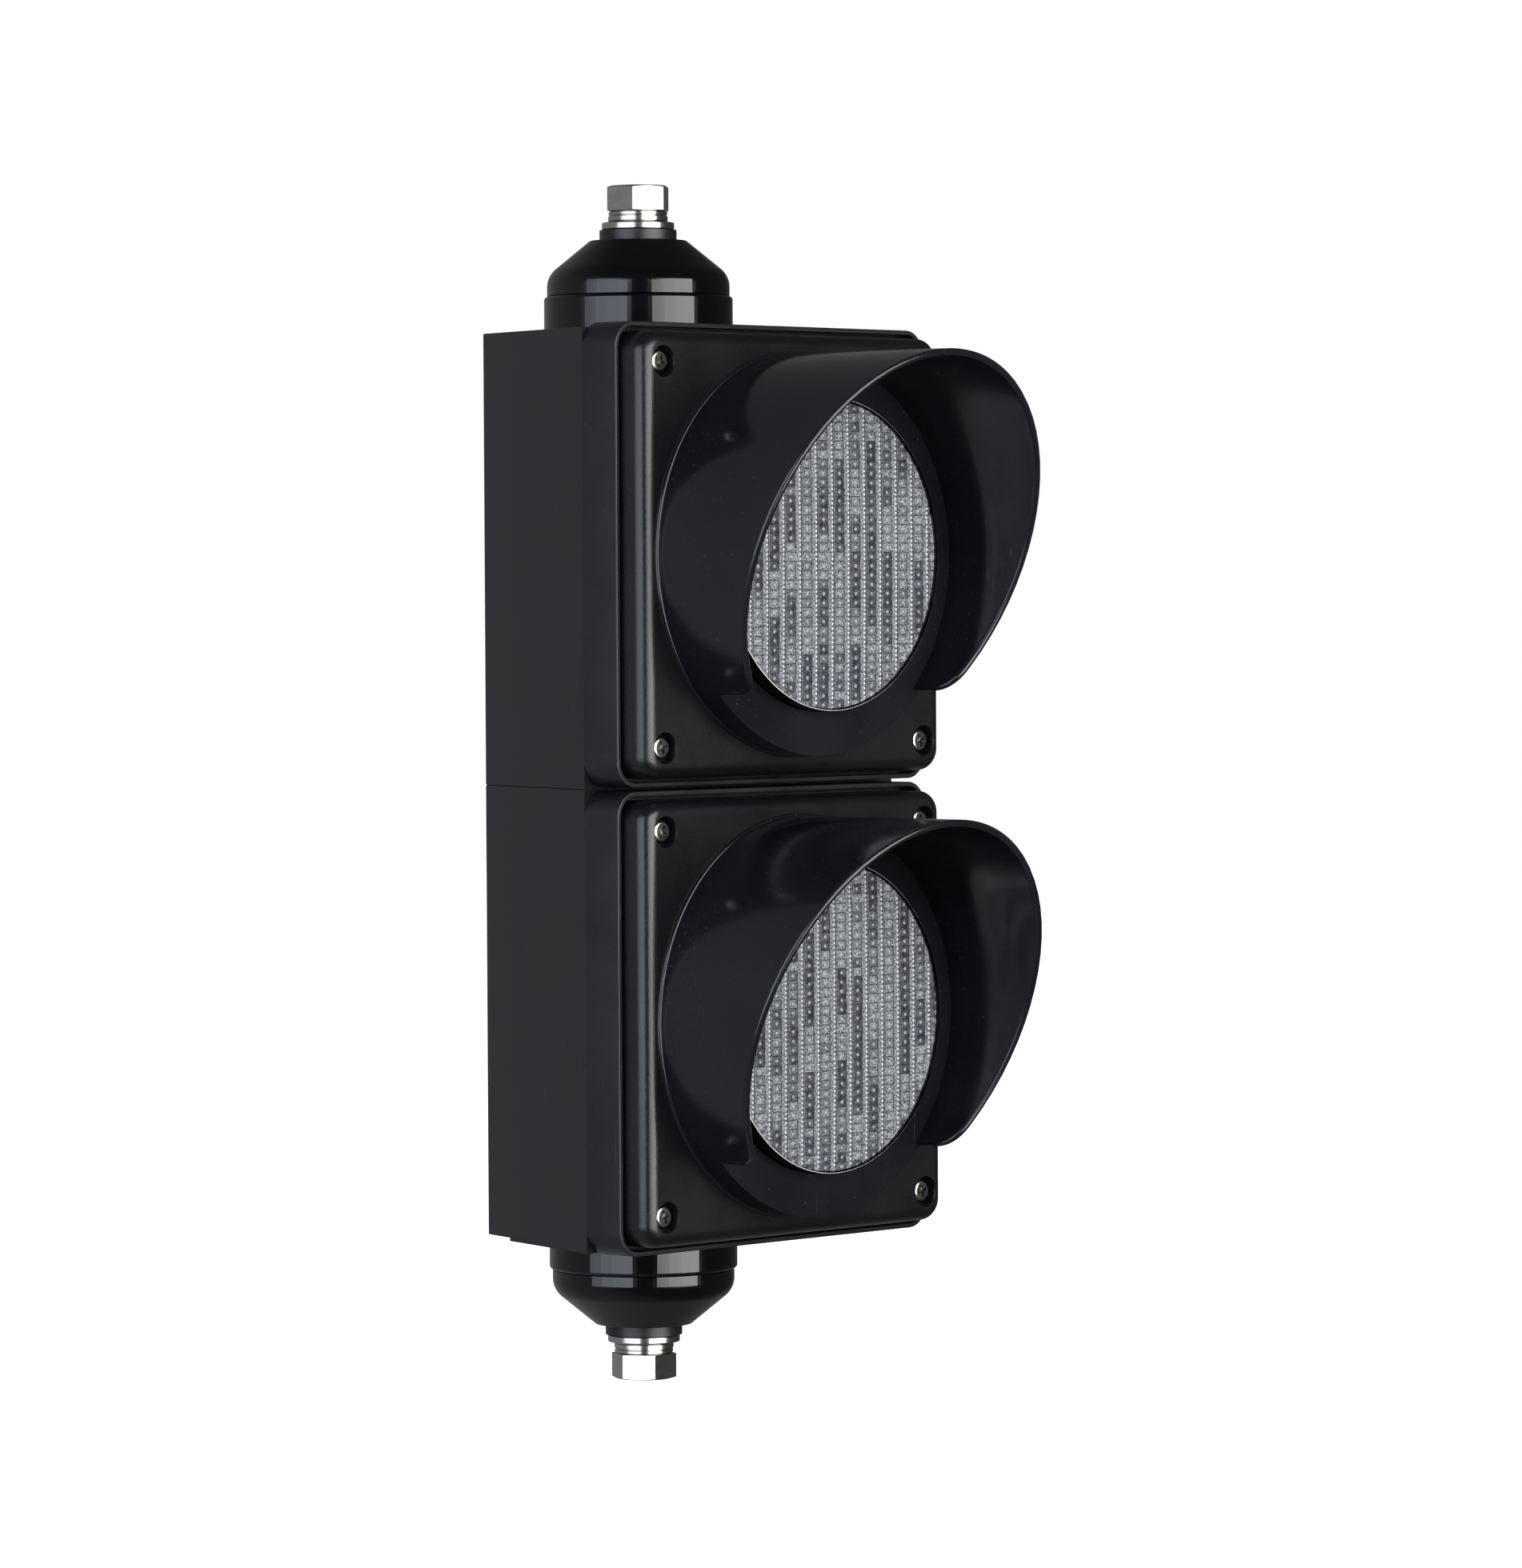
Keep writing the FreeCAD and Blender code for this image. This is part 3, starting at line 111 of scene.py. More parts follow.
def power(name, description, default):
    return bpy.props.FloatProperty(name=name, description=description, default=default, min=0.0,
                                   unit="POWER")


def angle(name, description, degrees):
    return bpy.props.FloatProperty(name=name, description=description, default=math.radians(degrees),
                                   subtype="ANGLE")


class SignalSizes(bpy.types.PropertyGroup):
    """Sizes that a user may change without leaving the frame."""
    edge_round: length("Edge rounding", "Rounding on the moulded edges", 0.45)
    rim_round: length("Rim rounding", "Rounding on the housing's front rim", 0.4)
    cover_round: length("Cover rounding", "Rounding on the cover's front edge", 4.6)
    visor_edge: length("Visor edge", "Rounding on the visor's free edge", 1.2)
    bead_size: length("Bead size", "Radius of a bead on the patterned lens", 0.5)
    bead_step: length("Bead step", "Distance between beads in a column", 1.5)
    rib_step: length("Rib step", "Distance between bead columns", 7.7)
    turn_steps: bpy.props.IntProperty(name="Turn steps", description="Faces round each turned piece",
                                      default=144, min=48, max=240)


class SignalFinishes(bpy.types.PropertyGroup):
    """Colours and roughness of the finishes."""
    satin: colour("Satin plastic", "Colour of the housings", (0.0078, 0.0083, 0.0104, 1))
    pebble: colour("Pebbled plastic", "Colour of the covers", (0.0047, 0.0051, 0.0068, 1))
    visor: colour("Visor plastic", "Colour of the visors", (0.0076, 0.0084, 0.0108, 1))
    gloss: colour("Glossy plastic", "Colour of the collars and domes", (0.0015, 0.0017, 0.0025, 1))
    steel: colour("Stainless steel", "Colour of the bolts and washers", (0.54, 0.525, 0.50, 1))
    satin_rough: share("Satin roughness", "Roughness of the housings", 0.34)
    visor_rough: share("Visor roughness", "Roughness of the visors", 0.15)
    gloss_rough: share("Gloss roughness", "Roughness of the collars and domes", 0.11)
    steel_rough: share("Steel roughness", "Roughness of the bolts and washers", 0.18)


class SignalStage(bpy.types.PropertyGroup):
    """Light, floor and camera."""
    left_power: power("Left light", "Power of the cool light", 20.0)
    right_power: power("Right light", "Power of the warm light", 38.0)
    near_glow: share("Near glow", "Strength of the surround on the other side", 0.055)
    far_glow: share("Far glow", "Strength of the surround where it is brightest", 0.265)
    glow_azimuth: angle("Glow azimuth", "Where the surround is brightest", -160.0)
    azimuth: angle("Azimuth", "Camera direction round the head", -46.79)
    elevation: angle("Elevation", "Camera direction above level", 1.68)
    roll: angle("Roll", "Camera turn about its own axis", -0.28)
    distance: length("Distance", "Camera distance from its aim", 2222.9)
    lens: bpy.props.FloatProperty(name="Lens", description="Focal length", default=156.69, min=1.0,
                                  unit="CAMERA")
    floor_drop: length("Floor drop", "Floor below the lowest bolt", 420.0)


# ---------------------------------------------------------------- modelling

def chosen_sizes():
    return bpy.context.scene.signal_sizes


def select_mesh():
    bpy.ops.mesh.select_all(action="SELECT")


def deselect():
    bpy.ops.object.select_all(action="DESELECT")


def activate(piece):
    deselect()
    piece.select_set(True)
    bpy.context.view_layer.objects.active = piece


def settle(piece):
    """Puts the piece's place into its mesh."""
    activate(piece)
    bpy.ops.object.transform_apply(location=True, rotation=True, scale=True)
    return piece


def add_box(low, high):
    """Box between two corners, in millimetres."""
    low, high = Vector(low) * MM, Vector(high) * MM
    deselect()
    bpy.ops.mesh.primitive_cube_add(size=1, location=(low + high) / 2, scale=high - low)
    return settle(bpy.context.object)


def add_rod(radius, start, end, steps=64):
    """Round rod between two points, in millimetres."""
    start, end = Vector(start) * MM, Vector(end) * MM
    along = end - start
    turn = UP.rotation_difference(along.normalized()).to_euler()
    deselect()
    bpy.ops.mesh.primitive_cylinder_add(vertices=steps, radius=radius * MM, depth=along.length,
                                        location=(start + end) / 2, rotation=turn)
    return settle(bpy.context.object)


def pick(piece, kind, test):
    """Opens the piece for editing with just the faces, edges or points that pass the test selected."""
    activate(piece)
    bpy.ops.object.mode_set(mode="EDIT")
    bpy.ops.mesh.select_mode(type=kind)
    bpy.ops.mesh.select_all(action="DESELECT")
    shape = bmesh.from_edit_mesh(piece.data)
    items = {"FACE": shape.faces, "EDGE": shape.edges, "VERT": shape.verts}[kind]
    chosen = [item for item in items if test(item)]
    for item in chosen:
        item.select = True
    shape.select_flush_mode()
    bmesh.update_edit_mesh(piece.data)
    if not chosen:
        raise RuntimeError(f"{piece.name}: nothing to select")


def close_edit():
    bpy.ops.object.mode_set(mode="OBJECT")


def facing(direction):
    direction = Vector(direction)
    return lambda face: face.normal.dot(direction) > 0.99


def spans(edge, axis):
    """True for an edge that runs along one axis."""
    along = (edge.verts[1].co - edge.verts[0].co).normalized()
    return abs(along[axis]) > 0.999


def lies_at(edge, axis, value):
    return all(abs(point.co[axis] - value * MM) < 0.02 * MM for point in edge.verts)


def round_edges(piece, size, steps, test):
    """Rounds the edges that pass the test; size in millimetres."""
    pick(piece, "EDGE", test)
    bpy.ops.mesh.bevel(offset=size * MM, segments=steps, profile=0.5, clamp_overlap=True)
    close_edit()


def combine(piece, tool, operation="DIFFERENCE"):
    activate(piece)
    bpy.ops.object.modifier_add(type="BOOLEAN")
    change = piece.modifiers[-1]
    change.operation, change.object, change.solver = operation, tool, "EXACT"
    bpy.ops.object.modifier_apply(modifier=change.name)
    bpy.data.objects.remove(tool)
    return piece


def join(piece, *others):
    activate(piece)
    for other in others:
        other.select_set(True)
    bpy.ops.object.join()
    return piece


def draw_line(path, closed):
    """Draws a line through the points, in millimetres, and leaves it open for editing."""
    deselect()
    bpy.ops.mesh.primitive_plane_add(size=MM, location=Vector(path[0]) * MM)
    piece = settle(bpy.context.object)
    bpy.ops.object.mode_set(mode="EDIT")
    bpy.ops.mesh.select_mode(type="VERT")
    select_mesh()
    bpy.ops.mesh.merge(type="CENTER")
    for start, end in zip(path, path[1:]):
        step = (Vector(end) - Vector(start)) * MM
        bpy.ops.mesh.extrude_region_move(TRANSFORM_OT_translate={"value": step})
    if closed:
        shape = bmesh.from_edit_mesh(piece.data)
        bpy.ops.mesh.select_all(action="DESELECT")
        for point in shape.verts:
            point.select = len(point.link_edges) == 1
        shape.select_flush_mode()
        bmesh.update_edit_mesh(piece.data)
        bpy.ops.mesh.edge_face_add()
    return piece


def turned(profile, centre, outward, closed=True, steps=None):
    """Spins a profile of (radius, distance outward) pairs round an axis through the centre."""
    centre, side = Vector(centre), Vector((1, 0, 0))
    path = [centre + side * radius + outward * distance for radius, distance in profile]
    piece = draw_line(path, closed)
    select_mesh()
    bpy.ops.mesh.spin(steps=steps or chosen_sizes().turn_steps, angle=2 * math.pi,
                      center=centre * MM, axis=outward)
    select_mesh()
    bpy.ops.mesh.remove_doubles(threshold=1e-6)
    bpy.ops.mesh.normals_make_consistent(inside=False)
    close_edit()
    return piece


def arc(middle, radius, start, end, steps):
    """Points along part of a circle, angles in degrees."""
    angles = [math.radians(start + (end - start) * step / steps) for step in range(steps + 1)]
    return [(middle[0] + radius * math.cos(angle), middle[1] + radius * math.sin(angle)) for angle in angles]


def slab(wide, tall, corner, front, back, middle):
    """Rounded slab facing forward, between two distances in front of the rim."""
    piece = add_box((-wide / 2, -RIM - front, middle - tall / 2),
                    (wide / 2, -RIM - back, middle + tall / 2))
    round_edges(piece, corner, 12, lambda edge: spans(edge, 1))
    return piece


def soften(piece, size, steps=3, angle=35.0):
    """Rounds what edges are still sharp and shades the piece smooth."""
    activate(piece)
    bpy.ops.object.modifier_add(type="BEVEL")
    change = piece.modifiers[-1]
    change.width, change.segments = size, steps
    change.limit_method, change.angle_limit = "ANGLE", math.radians(angle)
    change.harden_normals = True
    bpy.ops.object.modifier_apply(modifier=change.name)
    return piece


def smooth(piece, angle=32.0):
    activate(piece)
    bpy.ops.object.shade_smooth_by_angle(angle=math.radians(angle))
    return piece


def finish(piece, name, body, slot, material, *nodes):
    """Names the finished piece, gives it its finish and hands it to its body."""
    piece.name = name
    piece.data.name = name
    piece.data.materials.clear()
    piece.data.materials.append(material)
    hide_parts(*nodes)
    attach(piece, body)
    return piece


def copy_down(piece):
    """Second piece, one module lower, with its own mesh."""
    activate(piece)
    bpy.ops.object.duplicate()
    bpy.ops.transform.translate(value=(0, 0, -2 * HALF_PITCH * MM))
    copy = settle(bpy.context.object)
    for key in list(copy.keys()):
        del copy[key]
    return copy


def finish_end(piece, name, side, body, slot, node=None):
    """Finishes a piece that each end has, with the finish that its slot names."""
    finish(piece, f"{name}_{side}", body, slot, FINISHES[slot], f"{side}_{node or name}")


def finish_pair(piece, name, slot, look, node=None):
    """Finishes the upper cover unit's piece, then a copy for the lower one, and gives back both."""
    pair = []
    for side in SIDES:
        if pair:
            piece = copy_down(piece)
        nodes = [f"{side}_{node}"] if node else []
        pair.append(finish(piece, f"{name}_{side}", f"{side}_cover_unit", slot, FINISHES[look], *nodes))
    return pair


def lens_height(side):
    return SEAM + SIDES[side] * HALF_PITCH


# ---------------------------------------------------------------- finishes

class Finish:
    """One node material; each method adds a node and returns what it gives out."""

    def __init__(self, name):
        self.material = bpy.data.materials.new(name)
        self.material.use_nodes = True
        self.nodes = self.material.node_tree.nodes
        self.links = self.material.node_tree.links
        self.shader = self.nodes["Principled BSDF"]
        self.place = self.nodes.new("ShaderNodeTexCoord").outputs["Object"]

    def feed(self, socket, value):
        if isinstance(value, bpy.types.NodeSocket):
            self.links.new(value, socket)
        elif value is not None:
            socket.default_value = value

    def set(self, **values):
        """Sets or links the shader's own sockets, named with underscores for spaces."""
        for name, value in values.items():
            self.feed(self.shader.inputs[name.replace("_", " ")], value)

    def math(self, operation, first, second=None, third=None):
        node = self.nodes.new("ShaderNodeMath")
        node.operation = operation
        for socket, value in zip(node.inputs, (first, second, third)):
            self.feed(socket, value)
        return node.outputs[0]

    def times(self, first, second):
        return self.math("MULTIPLY", first, second)

    def plus(self, first, second):
        return self.math("ADD", first, second)

    def add(self, kind, **values):
        """Adds a node and feeds its sockets, named with underscores for spaces."""
        node = self.nodes.new("ShaderNode" + kind)
        for name, value in values.items():
            self.feed(node.inputs[name.replace("_", " ")], value)
        return node

    def stretch(self, scale, turn=(0, 0, 0)):
        return self.add("Mapping", Vector=self.place, Scale=scale, Rotation=turn).outputs[0]

    def noise(self, scale, detail=3.0, vector=None):
        return self.add("TexNoise", Vector=vector or self.place, Scale=scale, Detail=detail).outputs["Fac"]

    def cells(self, scale):
        return self.add("TexVoronoi", Vector=self.place, Scale=scale).outputs["Distance"]

    def chance(self, first, second):
        """A fixed random number for each pair of whole numbers."""
        pair = self.add("CombineXYZ", X=first, Y=second)
        node = self.nodes.new("ShaderNodeTexWhiteNoise")
        node.noise_dimensions = "2D"
        self.links.new(pair.outputs[0], node.inputs["Vector"])
        return node.outputs["Value"]

    def span(self, value, low, high, to_low=0.0, to_high=1.0):
        """Maps a value from one span to another, clamped and eased."""
        node = self.nodes.new("ShaderNodeMapRange")
        node.interpolation_type = "SMOOTHSTEP"
        for socket, number in zip(node.inputs, (value, low, high, to_low, to_high)):
            self.feed(socket, number)
        return node.outputs[0]

    def mix(self, factor, first, second):
        node = self.nodes.new("ShaderNodeMix")
        node.data_type = "RGBA"
        for socket, value in ((node.inputs[0], factor), (node.inputs[6], first), (node.inputs[7], second)):
            self.feed(socket, value)
        return node.outputs[2]

    def over(self, shade, mask, amount, tone):
        """Lays a tone over a shade where a mask is strong."""
        return self.mix(self.times(mask, amount), shade, tone)

    def bump(self, height, strength, distance, before=None):
        return self.add("Bump", Strength=strength, Distance=distance, Height=height, Normal=before).outputs[0]

    def scratches(self, density, turn):
        """Sparse thin lines, 0 to 1."""
        lines = self.noise(1.0, 2.0, self.stretch((1500, 1500, 55), turn))
        patch = self.noise(26.0, 2.0)
        return self.times(self.span(lines, 0.735 - density, 0.755 - density), self.span(patch, 0.56, 0.66))


def tinted(base, factor):
    return tuple(channel * factor for channel in base[:3]) + (1,)


def satin_finish(name, base, rough, grain, scratch=0.03):
    """Moulded satin plastic: fine grain, faint mottling, a few handling scratches."""
    made = Finish(name)
    mottle = made.noise(34.0, 4.0)
    dust = made.span(made.noise(420.0, 2.0), 0.66, 0.76)
    marks = made.scratches(scratch, (0.5, 0.9, 0.2))
    shade = made.mix(made.span(mottle, 0.3, 0.7), tinted(base, 0.86), tinted(base, 1.16))
    shade = made.over(shade, dust, 0.22, tinted(base, 3.2))
    shade = made.over(shade, marks, 0.45, tinted(base, 7.0))
    spread = made.plus(made.span(mottle, 0.25, 0.75, rough - 0.035, rough + 0.035),
                       made.times(dust, 0.08))
    relief = made.bump(made.noise(grain, 3.0), 0.18, 0.00008)
    made.set(Base_Color=shade, Roughness=spread, Normal=made.bump(marks, 0.3, 0.00004, relief), IOR=1.5)
    return made.material


def pebble_finish(name, base):
    """Moulded plastic with a fine pebble grain, with painted shade in the hollows between pebbles."""
    made = Finish(name)
    pebbles = made.cells(1500.0)
    mottle = made.noise(50.0, 3.0)
    # pebble tops lighter and the hollows between them darker, from the same cells as the bump: painted shade
    shade = made.mix(made.span(pebbles, 0.1, 0.8), tinted(base, 1.2), tinted(base, 0.78))
    dust = made.span(made.noise(600.0, 2.0), 0.68, 0.78)
    shade = made.over(shade, dust, 0.25, tinted(base, 3.5))
    relief = made.bump(made.math("SUBTRACT", 1.0, pebbles), 0.22, 0.0001)
    made.set(Base_Color=shade, Roughness=made.span(mottle, 0.25, 0.75, 0.25, 0.31), Normal=relief, IOR=1.5)
    return made.material


def gloss_finish(name, base, rough):
    """Polished plastic with hairline scratches and a little dust."""
    made = Finish(name)
    smear = made.noise(22.0, 3.0)
    marks = made.scratches(0.045, (0.9, 0.3, 0.6))
    dust = made.span(made.noise(900.0, 1.0), 0.72, 0.80)
    shade = made.mix(made.span(smear, 0.3, 0.7), tinted(base, 0.85), tinted(base, 1.2))
    shade = made.over(shade, made.math("MAXIMUM", marks, dust), 0.5, tinted(base, 7.0))
    spread = made.plus(made.span(smear, 0.3, 0.7, rough * 0.75, rough * 1.4),
                       made.times(marks, 0.2))
    ripple = made.bump(made.noise(120.0, 1.0), 0.05, 0.0001)
    made.set(Base_Color=shade, Roughness=spread, Normal=ripple, IOR=1.5)
    return made.material


def steel_finish(name, base, rough):
    """Machined stainless steel with a turned grain, tarnish and nicks."""
    made = Finish(name)
    grain = made.noise(1.0, 3.0, made.stretch((350, 350, 5200)))
    tarnish = made.noise(160.0, 4.0)
    nicks = made.span(made.noise(700.0, 2.0), 0.72, 0.79)
    shade = made.mix(made.span(tarnish, 0.35, 0.75), base, tinted(base, 0.82))
    shade = made.over(shade, nicks, 0.25, tinted(base, 0.55))
    spread = made.plus(made.span(grain, 0.3, 0.7, rough - 0.02, rough + 0.04),
                       made.times(nicks, 0.1))
    made.set(Base_Color=shade, Metallic=1.0, Roughness=spread, Normal=made.bump(grain, 0.025, 0.00001))
    return made.material


def clear_finish(name):
    """Clear moulded plastic: mirrors a little and lets the rest through."""
    made = Finish(name)
    facing = made.add("LayerWeight", Blend=0.5)
    sheen = made.math("MULTIPLY_ADD", made.math("POWER", facing.outputs["Facing"], 5.0), 0.96, 0.02)
    smear = made.noise(60.0, 3.0)
    clear = made.add("BsdfTransparent", Color=made.mix(smear, (0.93, 0.945, 0.96, 1), (0.97, 0.98, 0.99, 1)))
    gloss = made.add("BsdfGlossy", Roughness=made.span(smear, 0.3, 0.7, 0.05, 0.11),
                     Normal=made.bump(made.noise(240.0, 2.0), 0.08, 0.0001))
    blend = made.add("MixShader", Fac=sheen)
    made.links.new(clear.outputs[0], blend.inputs[1])
    made.links.new(gloss.outputs[0], blend.inputs[2])
    made.nodes.remove(made.shader)
    made.links.new(blend.outputs[0], made.nodes["Material Output"].inputs["Surface"])
    return made.material


CELL_PITCH, CELL_TALL = 7.7, 3.0
DARK_LINE = (0.034, 0.034, 0.041, 1)


def pattern_finish(name):
    """Moulded pattern: pale bands along the bead columns, and between them cells in light and dark groups."""
    made = Finish(name)
    sizes = chosen_sizes()
    parts = made.add("SeparateXYZ", Vector=made.place)
    columns = made.plus(made.math("DIVIDE", parts.outputs[0], sizes.rib_step), 40.02)
    column = made.math("FLOOR", columns)
    rows = made.math("DIVIDE", parts.outputs[2], 2 * sizes.bead_step)
    row = made.math("FLOOR", rows)
    # a cell's middle is where both of these are nought
    aside = made.math("ABSOLUTE", made.math("SUBTRACT", made.math("FRACT", columns), 0.5))
    above = made.math("ABSOLUTE", made.math("SUBTRACT", made.math("FRACT", rows), 0.5))
    wobble = made.times(made.math("SUBTRACT", made.noise(420.0, 2.0), 0.5), 0.09)
    aside = made.plus(aside, wobble)
    above = made.plus(above, wobble)
    chain = made.math("FLOOR", made.plus(made.times(row, 0.2), made.times(column, 0.37)))
    lot = made.chance(column, chain)
    single = made.chance(column, row)
    light = made.span(made.plus(made.times(lot, 0.72), made.times(single, 0.28)),
                      0.40, 0.78)
    speckle = made.noise(1500.0, 4.0)
    blotch = made.noise(520.0, 3.0)
    dark = made.mix(made.span(blotch, 0.35, 0.65), (0.030, 0.031, 0.036, 1), (0.115, 0.115, 0.124, 1))
    pale = made.mix(made.span(speckle, 0.35, 0.62), (0.100, 0.100, 0.104, 1), (0.40, 0.40, 0.405, 1))
    shade = made.mix(light, dark, pale)
    side = made.times(made.span(aside, 0.19, 0.25), made.span(made.chance(row, column), 0.15, 0.5))
    rung = made.span(above, 0.40, 0.47)
    lines = made.math("MAXIMUM", side, rung)
    shade = made.over(shade, lines, 0.72, DARK_LINE)
    reach = made.math("SQRT", made.plus(made.math("POWER", made.times(aside, CELL_PITCH), 2.0),
                                        made.math("POWER", made.times(above, CELL_TALL), 2.0)))
    dot = made.span(reach, 0.72, 0.38)
    shade = made.over(shade, dot, 0.78, (0.50, 0.50, 0.52, 1))
    band = made.span(aside, 0.275, 0.32)
    rib = made.mix(made.span(speckle, 0.32, 0.66), (0.085, 0.085, 0.092, 1), (0.400, 0.400, 0.412, 1))
    shade = made.mix(band, shade, rib)
    # narrow shadow down the right of each bead column
    where = made.math("FRACT", columns)
    shadow = made.times(made.span(where, 0.075, 0.095), made.span(where, 0.19, 0.15))
    shade = made.over(shade, shadow, 0.75, (0.030, 0.030, 0.037, 1))
    lift = made.plus(made.times(made.math("SUBTRACT", 1.0, lines), 0.5),
                     made.times(dot, 0.5))
    made.set(Base_Color=shade, Roughness=made.span(speckle, 0.3, 0.7, 0.2, 0.36),
             Normal=made.bump(lift, 0.5, 0.0004, made.bump(speckle, 0.3, 0.00015)), IOR=1.5)
    return made.material


def bead_painted_glint_finish(name):
    """Moulded beads in near-white: the colour is a painted glint that stands in for the light the beads
    catch, with a little real shine from metallic and roughness.
    """
    made = Finish(name)
    vary = made.noise(800.0, 2.0)
    # near-white colour: painted glint
    shade = made.mix(made.span(vary, 0.35, 0.65), (0.94, 0.94, 0.94, 1), (1.0, 1.0, 1.0, 1))
    made.set(Base_Color=shade, Metallic=0.2, Roughness=made.span(vary, 0.3, 0.7, 0.16, 0.28),
             Normal=made.bump(vary, 0.1, 0.0001), IOR=1.55)
    return made.material


def plain_finish(name, base, rough, grain=500.0, relief=0.15, metallic=0.0):
    """Inner moulded, rubber or printed surface: mottled colour and grain."""
    made = Finish(name)
    mottle = made.noise(grain / 6, 4.0)
    shade = made.mix(made.span(mottle, 0.3, 0.7), tinted(base, 0.78), tinted(base, 1.25))
    made.set(Base_Color=shade, Metallic=metallic, Normal=made.bump(made.noise(grain, 3.0), relief, 0.0001),
             Roughness=made.span(mottle, 0.25, 0.75, max(0.05, rough - 0.07), min(1.0, rough + 0.07)))
    return made.material


def board_finish(name):
    """Green solder mask with paler copper tracks and pads."""
    made = Finish(name)
    tracks = made.add("TexBrick", Vector=made.stretch((160, 160, 160), (math.pi / 2, 0, 0)), Scale=1.4,
                      Mortar_Size=0.03)
    pads = made.span(made.cells(180.0), 0.16, 0.12)
    bare = made.math("SUBTRACT", 1.0, tracks.outputs["Fac"])
    shade = made.mix(bare, (0.03, 0.17, 0.075, 1), (0.012, 0.085, 0.036, 1))
    shade = made.mix(pads, shade, (0.52, 0.47, 0.36, 1))
    made.set(Base_Color=shade, Roughness=made.span(made.noise(90.0), 0.3, 0.7, 0.25, 0.4),
             Normal=made.bump(tracks.outputs["Fac"], 0.12, 0.0001))
    return made.material


def make_finishes():
    """Makes each finish once, by the record's slot names where one fits."""
    chosen = bpy.context.scene.signal_finishes
    return {
        "housing_plastic": satin_finish("satin_plastic", chosen.satin, chosen.satin_rough, 1900.0),
        "cover_plastic": pebble_finish("pebbled_plastic", chosen.pebble),
        "gloss_black": gloss_finish("glossy_plastic", chosen.gloss, chosen.gloss_rough),
        "visor_plastic": gloss_finish("visor_plastic", chosen.visor, chosen.visor_rough),
        "stainless": steel_finish("stainless_steel", chosen.steel, chosen.steel_rough),
        "lens_clear": clear_finish("clear_lens"),
        "lens_pattern": pattern_finish("lens_pattern"),
        # near-white bead finish: painted glint on the beads and painted highlight on the lens rim
        "bead": bead_painted_glint_finish("lens_beads_painted_glint"),
        "rubber_black": plain_finish("black_rubber", (0.016, 0.016, 0.017), 0.72, 900.0, 0.25),
        "lamp_plastic": plain_finish("lamp_case_plastic", (0.085, 0.085, 0.09), 0.5, 1100.0),
        "circuit_board": board_finish("circuit_board"),
        "led_epoxy": plain_finish("led_epoxy", (0.80, 0.82, 0.85), 0.12, 400.0, 0.05),
        "driver_parts": plain_finish("driver_parts", (0.045, 0.05, 0.06), 0.38, 700.0),
        "nylon_black": satin_finish("black_nylon", (0.0060, 0.0063, 0.0070, 1), 0.36, 1100.0, 0.02),
        "cable_grey": plain_finish("cable_sheath", (0.075, 0.075, 0.08), 0.6, 600.0),
    }


FINISHES = {}


# ---------------------------------------------------------------- housings

def slanted_block(inset, low, high, back=BACK):
    """Block with the housing's plan: straight at the front, slanted sides, a narrow back."""
    piece = add_box((-HALF_WIDE + inset, FRONT_BACK, low), (HALF_WIDE - inset, SLANT_END, high))
    for reach, half in ((SLANT_END, SLANT_HALF - inset), (back, BACK_HALF - inset / 2)):
        pick(piece, "FACE", facing((0, 1, 0)))
        if reach > SLANT_END:
            step = (0, (reach - SLANT_END) * MM, 0)
            bpy.ops.mesh.extrude_region_move(TRANSFORM_OT_translate={"value": step})
            scale = half / (SLANT_HALF - inset)
        else:
            scale = half / (HALF_WIDE - inset)
        bpy.ops.transform.resize(value=(scale, 1, 1), center_override=(0, reach * MM, 0))
        close_edit()
    return piece


